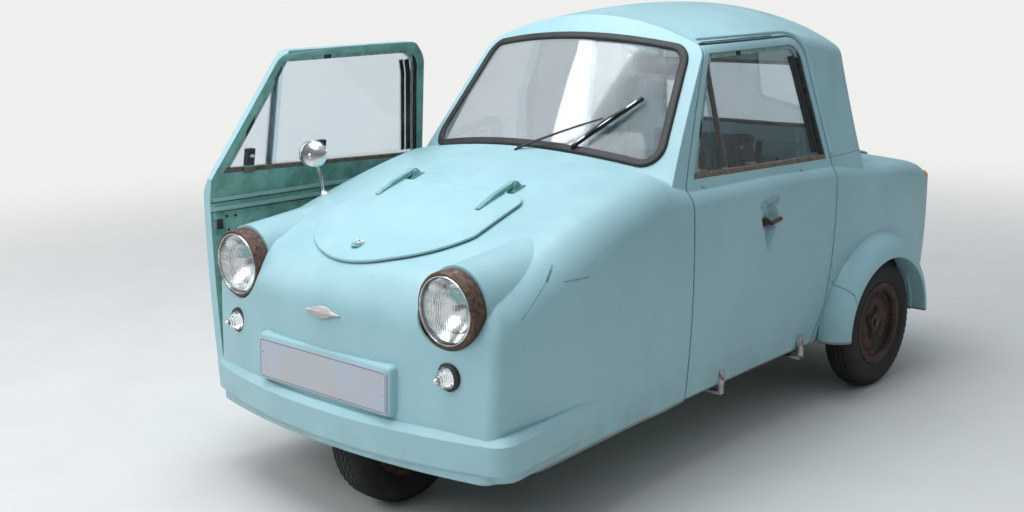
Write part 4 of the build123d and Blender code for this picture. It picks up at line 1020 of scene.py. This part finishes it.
def screen_loop(margin, steps=14):
    """Windscreen outline: a trapezium with round corners whose lower and upper edges bow upwards."""
    arcs = []
    ends = []
    for i in range(4):
        corner = SCREEN_CORNERS[i]
        into = unit(SCREEN_CORNERS[i - 1] - corner)
        out = unit(SCREEN_CORNERS[(i + 1) % 4] - corner)
        half = math.acos(into.dot(out)) / 2
        centre = corner + unit(into + out) * SCREEN_RADIUS / math.sin(half)
        start = corner + into * SCREEN_RADIUS / math.tan(half)
        end = corner + out * SCREEN_RADIUS / math.tan(half)
        first = math.atan2(*(start - centre)[::-1])
        last = math.atan2(*(end - centre)[::-1])
        last = first + (last - first + math.pi) % (2 * math.pi) - math.pi
        angles = np.linspace(first, last, steps)
        arcs.append(centre + (SCREEN_RADIUS - margin) * np.stack([np.cos(angles), np.sin(angles)], axis=-1))
        ends.append((start, end))
    points = []
    for i in range(4):
        edge = SCREEN_CORNERS[(i + 1) % 4] - SCREEN_CORNERS[i]
        length = np.linalg.norm(edge)
        share = np.linspace(0, 1, max(4, int(length / 0.02)))[1:-1, None]
        start, end = ends[i][1], ends[(i + 1) % 4][0]
        points += [arcs[i], start + (end - start) * share + np.array([-edge[1], edge[0]]) / length * margin]
    loop = np.concatenate(points)
    (foot_x, foot_z), (head_x, head_z) = SCREEN_CORNERS[:2]
    level = np.clip((loop[:, 1] - foot_z) / (head_z - foot_z), 0, 1)
    rise = SCREEN_RISE[0] * (1 - level) + SCREEN_RISE[1] * level
    width = foot_x * (1 - level) + head_x * level
    loop[:, 1] += rise * np.clip(1 - (loop[:, 0] / width) ** 2, 0, 1)
    return loop


class CAR_OT_window_rubbers(bpy.types.Operator):
    """Ribbed rubbers round the windscreen and the rear window"""
    bl_idname = "car.window_rubbers"
    bl_label = "Window rubbers"

    def execute(self, context):
        outline = [(-0.0135, -0.001), (-0.0135, 0.003), (-0.0105, 0.0068), (-0.0045, 0.0088), (0.0, 0.0070),
                   (0.0045, 0.0088), (0.0105, 0.0065), (0.0130, 0.0025), (0.0130, -0.001)]
        loop = screen_loop(0.0125)
        x, z = loop[:, 0], loop[:, 1]
        slope = x / np.sqrt(SCREEN_BOW**2 - x**2)
        normals = unit(np.stack([slope, np.full_like(x, -1.0), np.full_like(x, SCREEN_LEAN)], axis=-1))
        front = np.stack([x, screen_y(x, z), z], axis=-1) + at(0, 0, 0)
        wall = corners("windows")[1][1]
        turn = rounded_box_profile(0.676, 0.232, 0.046, 12)
        rear = np.stack([turn[:, 0] + CENTRE_X, np.full(len(turn), wall), turn[:, 1] + 1.035], axis=-1)
        paths = ((front, normals), (rear, (0, 1, 0)))
        lips = [carried(path, outline, ups, closed=True) for path, ups in paths]
        place_mesh("rubber_lips", lips, "rubber", replaces="window_seals")
        return {"FINISHED"}


class CAR_OT_wiper(bpy.types.Operator):
    """Wiper spindle, arm, blade carrier and rubber"""
    bl_idname = "car.wiper"
    bl_label = "Wiper"

    def execute(self, context):
        def on_screen(x, z, lift):
            """Points off the windscreen by a lift, for numbers or arrays."""
            return np.stack([x + CENTRE_X + 0 * z, screen_y(x, z) - lift + CENTRE_Y, z + lift * 0.6], axis=-1)

        away = (0, -0.77, 0.64)
        boss = [(-0.02, 0), (-0.02, 0.010), (0.004, 0.010), (0.008, 0.007), (0.030, 0.006), (0.034, 0.004),
                (0.034, 0)]
        arm = smooth_path([at(0.003, -0.462, 0.966), at(0.05, -0.446, 0.985), on_screen(0.15, 1.012, 0.022),
                           on_screen(0.247, 1.049, 0.018)], 24)
        profile = rounded_box_profile(0.012, 0.006, 0.002)
        points, faces = carried(arm, profile, (0, -0.5, 0.8))
        # The arm gets narrower towards the blade
        centre = np.repeat(arm, len(profile), axis=0)
        share = np.repeat(np.linspace(1.0, 0.55, 24), len(profile))[:, None]
        points[:len(centre)] = centre + (points[:len(centre)] - centre) * share
        blade = on_screen(np.linspace(0.181, 0.338, 30), np.linspace(0.968, 1.110, 30), 0.012)
        bow = 0.014 + 0.010 * np.sin(np.linspace(0, np.pi, 16))
        bridge = on_screen(np.linspace(0.205, 0.315, 16), np.linspace(0.990, 1.089, 16), bow)
        parts = [
            lathe(boss, at(0.003, -0.456, 0.934), (0.0, -0.42, 0.9), 20),
            (points, faces),
            carried(blade, rounded_box_profile(0.010, 0.013, 0.003), away),
            carried(bridge, rounded_box_profile(0.009, 0.003, 0.001), away),
        ]
        place_mesh("wiper_set", parts, "plastic", replaces="wiper", crease=SHARP)
        edge = blade[2:-2] + (0, -0.0045, 0.0037)
        strip = carried(edge, rounded_box_profile(0.0035, 0.002, 0.0007), away)
        place_mesh("wiper_strip", [strip], "bright")
        return {"FINISHED"}


class CAR_OT_wing_mirror(bpy.types.Operator):
    """Round backed wing mirror on its stalk and foot"""
    bl_idname = "car.wing_mirror"
    bl_label = "Wing mirror"

    def execute(self, context):
        foot, normal = seat(node_surface("body_front"), at(-0.480, -0.832, 1.2), (0, 0, -1))
        head = at(-0.506, -0.846, 0.953)
        base = [(-0.004, 0), (-0.004, 0.017), (0.001, 0.0175), (0.004, 0.015), (0.007, 0.0095),
                (0.013, 0.0075), (0.014, 0)]
        neck = [(0.008, 0), (0.008, 0.010), (0.0185, 0.009), (0.0215, 0.005), (0.0225, 0)]
        stalk = smooth_path([foot + normal * 0.008, foot * 0.55 + head * 0.45 + (0.002, 0.004, 0),
                             head + (0, 0.006, -0.012)], 30)
        along, first, second = basis((0.30, -1.0, 0.12))
        turn = full_turn(72)
        ring = np.cos(turn)[:, None] * first * 0.044 + np.sin(turn)[:, None] * second * 0.050
        # The shell is a dome over the ring, as (along, share of the ring), with a small lip round the glass
        quarter = np.linspace(0, 1, 18) * np.pi / 2
        shell = np.stack([0.020 * np.cos(quarter) ** 0.7, np.sin(quarter) ** 0.9], axis=-1)
        shell = np.concatenate([shell, [(-0.0035, 1.0), (-0.0045, 0.97)]])
        dome = head + shell[:, 0, None, None] * along + shell[:, 1, None, None] * ring[None]
        parts = [
            lathe(base, foot, normal, 40),
            carried(stalk, round_profile(0.0048, 16), (0, -1, 0.2)),
            (dome, grid_faces(len(shell), 72)),
            lathe(neck, head - first * 0.006, along, 24),
        ]
        place_mesh("wing_mirror_set", parts, "chrome", replaces="wing_mirror", crease=45)
        levels = np.linspace(0, 1, 12)[:, None, None]
        glass = head - along * 0.0038 + along * 0.0015 * (levels**2 - 1) + levels * 0.965 * ring[None]
        place_mesh("wing_mirror_glass", [(glass, grid_faces(12, 72))], "mirror")
        return {"FINISHED"}


def pad(name, node, grooves):
    """Cushion swollen by a short cloth simulation from a slightly smaller copy of its CAD solid.

    No point moves further than the swell limit, and none ends outside the CAD solid's own box.
    """
    shrink = 0.012
    swell_limit = 0.014
    low, high = corners(node)
    middle = (low + high) / 2
    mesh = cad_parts[node].data.copy()
    smaller = (coordinates(mesh) - middle) * (1 - 2 * shrink / (high - low)) + middle
    mesh.vertices.foreach_set("co", smaller.ravel())
    piece = bpy.data.objects.new(name, mesh)
    scene = bpy.context.scene
    scene.collection.objects.link(piece)

    def evaluated():
        """The cushion with its modifiers worked out."""
        return piece.evaluated_get(bpy.context.evaluated_depsgraph_get())

    def apply_modifiers():
        """Makes the modifiers part of the mesh."""
        piece.data = bpy.data.meshes.new_from_object(evaluated())
        piece.modifiers.clear()

    voxels = piece.modifiers.new("Voxels", "REMESH")
    voxels.mode = "VOXEL"
    voxels.voxel_size = 0.008
    apply_modifiers()
    start = coordinates(piece.data)
    shape = start
    cloth = piece.modifiers.new("Swell", "CLOTH").settings
    cloth.use_pressure = True
    cloth.uniform_pressure_force = 4.0
    cloth.quality = 4
    cloth.effector_weights.gravity = 0.0
    for step in range(1, 21):
        scene.frame_set(step)
    shape = coordinates(evaluated().to_mesh())
    piece.modifiers.clear()
    scene.frame_set(1)
    move = shape - start
    length = np.linalg.norm(move, axis=1)[:, None]
    shape = start + move * np.minimum(1.0, swell_limit / np.maximum(length, 1e-9))
    piece.data.vertices.foreach_set("co", shape.ravel())
    piece.modifiers.new("Finer", "SUBSURF").levels = 1
    apply_modifiers()
    shape = np.clip(grooves(coordinates(piece.data)), low, high)
    piece.data.vertices.foreach_set("co", shape.ravel())
    piece.data.polygons.foreach_set("use_smooth", np.full(len(piece.data.polygons), True))
    piece.data.materials.clear()
    piece.data.materials.append(finishes["cover"].material)
    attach(piece, "root")
    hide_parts(node)


class CAR_OT_seat(bpy.types.Operator):
    """Seat cushion and back: crowned pads with sewn channels"""
    bl_idname = "car.seat"
    bl_label = "Seat"

    def execute(self, context):
        channels = context.scene.car_seat.channels
        low, high = corners("seat_cushion")
        back_low, back_high = corners("seat_back")
        middle = (low + high) / 2

        def channel_depth(points, left, right):
            """Depth of the channels, each a bell curve about its line."""
            lines = np.linspace(left + 0.07, right - 0.07, channels)
            away = np.abs(points[:, 0, None] - lines).min(axis=1)
            return 0.007 * np.exp(-(away / 0.006) ** 2)

        def cushion_channels(points):
            """Channels pressed down into the upper face, fading out near its front and back."""
            upper = np.clip((points[:, 2] - middle[2]) / 0.03, 0, 1)
            inside = np.clip((0.15 - np.abs(points[:, 1] - middle[1])) / 0.02, 0, 1)
            points[:, 2] -= channel_depth(points, low[0], high[0]) * upper * inside
            return points

        def back_channels(points):
            """Channels pressed backwards into the front face, fading out near its foot and top."""
            share = (points[:, 2] - back_low[2]) / (back_high[2] - back_low[2])
            face = back_low[1] + 0.04 + 0.045 * share
            front = np.clip((face + 0.02 - points[:, 1]) / 0.02, 0, 1)
            inside = np.clip((0.40 - np.abs(share - 0.5)) / 0.05, 0, 1)
            points[:, 1] += channel_depth(points, back_low[0], back_high[0]) * front * inside
            return points

        pad("seat_pad", "seat_cushion", cushion_channels)
        pad("seat_back_pad", "seat_back", back_channels)
        return {"FINISHED"}


class CAR_OT_roof_trim(bpy.types.Operator):
    """Gutters over the doors that run down behind the windows, with dark joint lines"""
    bl_idname = "car.roof_trim"
    bl_label = "Roof trim"

    def execute(self, context):
        route = [(-0.080, 1.2790), (0.02, 1.2795), (0.15, 1.2800), (0.28, 1.2795), (0.364, 1.2770),
                 (0.4175, 1.2627), (0.4567, 1.2235), (0.4715, 1.1700), (0.4805, 1.0900), (0.4920, 1.0000),
                 (0.5025, 0.9200), (0.5080, 0.8760)]
        rib = [(-0.0062, -0.002), (-0.0062, 0.0030), (-0.0040, 0.0056), (0.0, 0.0066), (0.0040, 0.0056),
               (0.0062, 0.0030), (0.0062, -0.002)]
        line = rounded_box_profile(0.0022, 0.0030, 0.0005, 2)
        tree = node_surface("roof")
        ribs = []
        lines = []
        for side in (1, -1):
            inward = (-side, 0, 0)
            path, ups = seated_path(tree, [at(side * 0.75, y, z) for y, z in route], inward, 0.0, 120)
            ribs.append(carried(path, rib, ups))
            below = [at(side * 0.75, y, z - 0.0085) for y, z in route[:4]]
            path, ups = seated_path(tree, below, inward, 0.0005, 60)
            lines.append(carried(path, line, ups))
        place_mesh("gutters", ribs, "rear_paint", crease=50)
        place_mesh("gutter_lines", lines, "rubber")
        return {"FINISHED"}


class CAR_OT_lid_fittings(bpy.types.Operator):
    """Black rubber under the bonnet lid, which also stands for the shade in the gap round it, and its turn
    button
    """
    bl_idname = "car.lid_fittings"
    bl_label = "Lid fittings"

    def execute(self, context):
        tree = node_surface("bonnet_lid")
        turns = np.linspace(-1.18, 1.18, 41)
        arc = [(0.319 * math.sin(turn), -0.8404 - 0.319 * math.cos(turn)) for turn in turns]
        outline = [(-0.292, -0.80), (-0.294, -0.88)] + arc + [(0.294, -0.88), (0.292, -0.80)]
        places = [seat(tree, at(x, y, 0.30), (0, 0, 1))[0] - (0, 0, 0.0022) for x, y in outline]
        # The black bead under the lid's edge is a rubber seal and also painted shade: it makes the gap round
        # the lid dark.
        seal_and_gap_shade = carried(smooth_path(places, 160), rounded_box_profile(0.006, 0.0044, 0.0018, 3), (0, 0, 1))
        place_mesh("lid_seal_and_gap_shade", [seal_and_gap_shade], "rubber", "bonnet_lid")
        top, normal = seat(tree, at(0, -1.100, 1.2), (0, 0, -1))
        button = [(-0.002, 0), (-0.002, 0.015), (0.0015, 0.0155), (0.003, 0.0135), (0.004, 0.008),
                  (0.0065, 0.006), (0.0065, 0)]
        parts = [lathe(button, top, normal, 40)]
        for direction in basis(normal, (1, 0.5, 0))[1:]:
            bar = top + normal * 0.007 + direction * np.linspace(-0.012, 0.012, 9)[:, None]
            parts.append(carried(bar, rounded_box_profile(0.0052, 0.0045, 0.0018), normal))
        place_mesh("lid_button", parts, "chrome", "bonnet_lid", crease=SHARP)
        return {"FINISHED"}


class CAR_OT_plate_fittings(bpy.types.Operator):
    """Moulded pad behind the front plate, the lined edge of each plate and its screws"""
    bl_idname = "car.plate_fittings"
    bl_label = "Plate fittings"

    def execute(self, context):
        up = np.array([0, math.sin(PLATE_TILT), math.cos(PLATE_TILT)])
        out = np.array([0, -math.cos(PLATE_TILT), math.sin(PLATE_TILT)])
        outline = rounded_box_profile(*PAD_SIZE, 0.014, 6) + (0, 0.004)
        # Rows from the nose outwards, each wider than the pad by a margin, and the closed front
        margins = ((-0.034, 0.010), (-0.010, 0.005), (-0.003, 0.003), (0.0, -0.001))
        rows = [(lift, 1 + 2 * margin / PAD_SIZE) for lift, margin in margins] + [(0.0, 0.0)]
        moulding = stacked(outline, PLATE_MIDDLE - out * 0.0008, out, up, rows)
        place_mesh("plate_pad", [moulding], "paint", crease=50)
        screw = [(-0.001, 0), (-0.001, 0.0045), (0.0008, 0.0042), (0.0018, 0.0028), (0.0022, 0)]
        lines = []
        screws = []
        for centre, face, rise, size in (
                (PLATE_MIDDLE + out * 0.003, out, up, FRONT_PLATE_SIZE),
                (at(0, 1.2652, 0.456), np.array([0, 1.0, 0]), np.array([0, 0, 1.0]), REAR_PLATE_SIZE)):
            width, height = size
            edge = rounded_box_profile(width - 0.010, height - 0.010, 0.009, 8)
            path = centre + edge[:, :1] * X_AXIS + edge[:, 1:] * rise
            lines.append(carried(path, rounded_box_profile(0.0012, 0.0008, 0.0002, 2), face, closed=True))
            for side, z in ((-1, -0.018), (-1, 0.018), (1, 0.0)):
                spot = centre + X_AXIS * side * (width / 2 - 0.016) + rise * z
                screws.append(lathe(screw, spot, face, 16))
        place_mesh("plate_lines", lines, "rubber")
        place_mesh("plate_screws", screws, "chrome", crease=SHARP)
        return {"FINISHED"}


class CAR_OT_badge(bpy.types.Operator):
    """Plain pressed lozenge on the nose, thicker at its middle"""
    bl_idname = "car.badge"
    bl_label = "Badge"

    def execute(self, context):
        out = unit(np.array([0, -1, 0.12]))
        up = unit(np.array([0, 0.12, 1]))
        upper = np.array([(0.069, 0), (0.040, 0.0055), (0.026, 0.0125), (0, 0.0165), (-0.026, 0.0125),
                          (-0.040, 0.0055)])
        outline = smooth_path(np.concatenate([upper, -upper]), 96, closed=True)
        rows = ((-0.006, 1.0), (0.0012, 1.0), (0.0026, 0.94), (0.0034, 0.80), (0.0040, 0.55), (0.0058, 0.34),
                (0.0068, 0.16), (0.0070, 0.0))
        lozenge = stacked(outline, at(0, -1.2475, 0.614), out, up, rows)
        place_mesh("badge_blank", [lozenge], "badge", replaces="badge", crease=40)
        return {"FINISHED"}


class CAR_OT_door_fittings(bpy.types.Operator):
    """Knobs of the window catches, stiles of the panes, latch plates with their holes, and hook screws"""
    bl_idname = "car.door_fittings"
    bl_label = "Door fittings"

    def execute(self, context):
        outward = (1, 0, 0)
        inward = (-1, 0, 0)
        channel = node_surface("door_channels")
        knob = [(-0.001, 0), (-0.001, 0.006), (0.008, 0.005), (0.013, 0.0045), (0.015, 0.003), (0.0155, 0)]
        spots = [seat(channel, at(0.30, y, 0.938), outward)[0] for y in CATCHES_Y]
        knobs = [lathe(knob, spot, (-1, 0, 0.1), 20) for spot in spots]
        place_mesh("catch_knobs", both_doors(knobs), "plate")

        panes = node_surface("door_panes")
        bars = []
        for back, width in ((0.030, 0.018), (0.052, 0.014)):
            route = [(0.430 + (1.160 - z) * 0.1467 - back, z) for z in np.linspace(0.887, 1.155, 8)]
            places = []
            for y, z in route + [(0.418 - back, 1.200)]:
                place, normal = seat(panes, at(0.75, y, z), inward)
                places.append(place + normal * 0.001)
            profile = rounded_box_profile(width, 0.006, 0.002)
            bars.append(carried(smooth_path(places, 40), profile, (0.97, 0, 0.2)))
        place_mesh("pane_stiles", both_doors(bars), "rubber", crease=SHARP)

        plates = [block(at(0.5155, -0.302, 0.692), at(0.5205, -0.262, 0.766), 0.003)]
        holes = [block(at(0.5140, -0.294, 0.712), at(0.5165, -0.272, 0.744), 0.001)]
        hole = [(0, 0), (0, 0.0048), (0.0025, 0.0044), (0.0025, 0)]
        for y, z in ((-0.257, 0.750), (-0.227, 0.748), (-0.253, 0.705), (-0.223, 0.705)):
            holes.append(lathe(hole, at(0.5178, y, z), inward, 16))
        place_mesh("latch_plates", both_doors(plates), "hinge")
        place_mesh("latch_holes", both_doors(holes), "black")

        door = node_surface("door_left")
        screw = [(-0.002, 0), (-0.002, 0.0085), (0.002, 0.008), (0.004, 0.005), (0.0045, 0)]
        screws = [lathe(screw, *seat(door, at(0.75, y, 0.262), inward), 16) for y in (-0.109, 0.361)]
        place_mesh("hook_screws", both_doors(screws), "rim")
        return {"FINISHED"}


class CAR_OT_controls(bpy.types.Operator):
    """Ribbed grips of the steering bar, and two dials on the shelf"""
    bl_idname = "car.controls"
    bl_label = "Controls"

    def execute(self, context):
        share = np.linspace(0, 1, 61)
        ribbed = 0.0150 + 0.0012 * np.abs(np.sin(share * np.pi * 12))
        ribs = np.stack([0.004 - 0.086 * share, ribbed], axis=-1)
        grip = np.concatenate([[(0.007, 0), (0.007, 0.012)], ribs, [(-0.086, 0.011), (-0.086, 0.0112)]])
        grips = []
        for side in (-1, 1):
            end = at(side * 0.205, -0.262, 0.860)
            grips.append(lathe(grip, end, unit(end - at(side * 0.120, -0.322, 0.855)), 32))
        place_mesh("grips", grips, "plastic", "tiller", crease=50)
        radius = 0.024
        backward = (0, 1, 0)
        bezel = [(0, radius), (0, radius + 0.004), (0.004, radius + 0.004), (0.006, radius + 0.002),
                 (0.004, radius), (0, radius)]
        pointer = rounded_box_profile(0.0016, 0.0008, 0.0003, 2)
        pointing = np.array([math.sin(0.9), 0, math.cos(0.9)])
        dials = [at(x, -0.4792, 0.820) for x in (0.235, 0.320)]
        bezels = [lathe(bezel, dial, backward, 48) for dial in dials]
        faces = [lathe([(0.0012, 0), (0.0012, radius)], dial, backward, 48) for dial in dials]
        hand = (0, 0.0022, 0) + pointing * np.linspace(-0.004, radius * 0.8, 6)[:, None]
        needles = [carried(dial + hand, pointer, backward) for dial in dials]
        place_mesh("dial_bezels", bezels, "chrome", crease=SHARP)
        place_mesh("dial_faces", faces, "plastic")
        place_mesh("dial_needles", needles, "plate")
        return {"FINISHED"}


class CAR_OT_stage(bpy.types.Operator):
    """Plain pale floor, soft light and the camera of the photograph"""
    bl_idname = "car.stage"
    bl_label = "Stage"

    def execute(self, context):
        scene = context.scene
        reach = 70.0
        mesh = bpy.data.meshes.new("floor")
        mesh.from_pydata([(-reach, -reach, 0), (-reach, reach, 0), (reach, -reach, 0), (reach, reach, 0)], [],
                         [[0, 2, 3, 1]])
        floor = bpy.data.objects.new("floor", mesh)
        scene.collection.objects.link(floor)
        ground = Finish("Pale floor", (0.62, 0.61, 0.59), 0.85)
        ground.colour(ground.mix(ground.noise(3.0), (0.58, 0.57, 0.55, 1), (0.66, 0.65, 0.63, 1)))
        # Seen straight or through glass, the floor goes over into the plain background away from the car
        rays = ground.node("ShaderNodeLightPath").outputs
        straight = ground.calc("MAXIMUM", rays["Is Camera Ray"], rays["Is Transmission Ray"])
        far = ground.node("ShaderNodeVectorMath", {0: ground.place}, operation="LENGTH").outputs["Value"]
        share = ground.product(ground.ramp(far, 1.9, 6.5), straight)
        pale = ground.node("ShaderNodeEmission", {"Color": (*PALE, 1), "Strength": 1.0}).outputs[0]
        both = ground.node("ShaderNodeMixShader", {0: share, 1: ground.shader.outputs[0], 2: pale})
        ground.tree.links.new(both.outputs[0], ground.tree.nodes["Material Output"].inputs["Surface"])
        mesh.materials.append(ground.material)

        # The sky gets bluer upwards, and shows the background where it is seen straight or through glass
        world = bpy.data.worlds.new("Studio")
        scene.world = world
        world.use_nodes = True
        tree = world.node_tree
        direction = add_node(tree, "ShaderNodeTexCoord").outputs["Generated"]
        height = add_node(tree, "ShaderNodeSeparateXYZ", {0: direction}).outputs["Z"]
        inputs = {"Value": height, "From Min": 0.0, "From Max": 0.75}
        rise = add_node(tree, "ShaderNodeMapRange", inputs).outputs[0]
        sky = mix_colours(tree, rise, (0.15, 0.14, 0.125, 1), (0.78, 0.88, 0.98, 1))
        rays = add_node(tree, "ShaderNodeLightPath").outputs
        inputs = {0: rays["Is Camera Ray"], 1: rays["Is Transmission Ray"]}
        straight = add_node(tree, "ShaderNodeMath", inputs, operation="MAXIMUM").outputs[0]
        background = tree.nodes["Background"].inputs
        seen = mix_colours(tree, straight, sky, tuple(channel / SKY_STRENGTH for channel in PALE) + (1,))
        tree.links.new(seen, background["Color"])
        background["Strength"].default_value = SKY_STRENGTH

        # Each lamp: name, place, what it faces, its width in metres and its power in watts
        lamps = (("soft_top", (-0.6, -1.0, 4.8), (0, 0, 0.4), 4.2, 188),
                 ("soft_front", (-1.0, -5.4, 4.2), (0.0, -0.8, 0.6), 3.0, 108),
                 ("soft_right", (-4.2, -2.6, 2.4), (0.0, -0.5, 0.6), 3.0, 30))
        for name, place, aim, size, power in lamps:
            lamp = bpy.data.lights.new(name, "AREA")
            lamp.shape = "DISK"
            lamp.size = size
            lamp.energy = power
            lamp.color = (0.93, 0.97, 1.0)
            holder = bpy.data.objects.new(name, lamp)
            scene.collection.objects.link(holder)
            holder.location = place
            holder.rotation_euler = (Vector(aim) - Vector(place)).to_track_quat("-Z", "Y").to_euler()

        view = scene.car_view
        camera = bpy.data.cameras.new("Camera")
        camera.lens = view.focal_length
        camera.sensor_width = 36.0
        camera.shift_y = 0.0045
        holder = bpy.data.objects.new("Camera", camera)
        scene.collection.objects.link(holder)
        azimuth, pitch, roll = view.azimuth, view.pitch, view.roll
        level = Vector((math.cos(azimuth), math.sin(azimuth), 0))
        forward = Vector((-math.sin(azimuth), math.cos(azimuth), 0))
        ahead = forward * math.cos(pitch) - Vector((0, 0, math.sin(pitch)))
        upward = level.cross(ahead)
        right = math.cos(roll) * level + math.sin(roll) * upward
        up = -math.sin(roll) * level + math.cos(roll) * upward
        rotation = Matrix((right, up, -ahead)).transposed()
        holder.matrix_world = Matrix.Translation(Vector(at(*view.place))) @ rotation.to_4x4()
        scene.camera = holder
        scene.view_settings.view_transform = "Standard"
        return {"FINISHED"}


PIECES = (
    CAR_OT_finishes,
    CAR_OT_tyres,
    CAR_OT_wheel_fittings,
    CAR_OT_headlamps,
    CAR_OT_side_lamps,
    CAR_OT_window_rubbers,
    CAR_OT_wiper,
    CAR_OT_wing_mirror,
    CAR_OT_seat,
    CAR_OT_roof_trim,
    CAR_OT_lid_fittings,
    CAR_OT_plate_fittings,
    CAR_OT_badge,
    CAR_OT_door_fittings,
    CAR_OT_controls,
    CAR_OT_stage,
)


class CAR_PT_panel(bpy.types.Panel):
    """Lists the operators and the settings they read"""
    bl_idname = "CAR_PT_panel"
    bl_label = "Three wheeled car"
    bl_space_type = "VIEW_3D"
    bl_region_type = "UI"
    bl_category = "Car"

    def draw(self, context):
        layout = self.layout
        for name, group in SETTINGS:
            box = layout.box()
            for key in group.__annotations__:
                box.prop(getattr(context.scene, name), key)
        for operator in PIECES:
            layout.operator(operator.bl_idname)


SETTINGS = (
    ("car_body", BodySettings),
    ("car_wheel", WheelSettings),
    ("car_lamp", LampSettings),
    ("car_seat", SeatSettings),
    ("car_view", ViewSettings),
)


def register():
    """Registers the settings, the operators and the panel."""
    for name, group in SETTINGS:
        bpy.utils.register_class(group)
        setattr(bpy.types.Scene, name, bpy.props.PointerProperty(type=group))
    for operator in PIECES:
        bpy.utils.register_class(operator)
    bpy.utils.register_class(CAR_PT_panel)


def unregister():
    """Takes the panel, the operators and the settings away again."""
    bpy.utils.unregister_class(CAR_PT_panel)
    for operator in reversed(PIECES):
        bpy.utils.unregister_class(operator)
    for name, group in reversed(SETTINGS):
        delattr(bpy.types.Scene, name)
        bpy.utils.unregister_class(group)


def main():
    """Runs the operators in their order."""
    register()
    for operator in PIECES:
        group, call = operator.bl_idname.split(".")
        getattr(getattr(bpy.ops, group), call)()


if __name__ == "__main__":
    main()
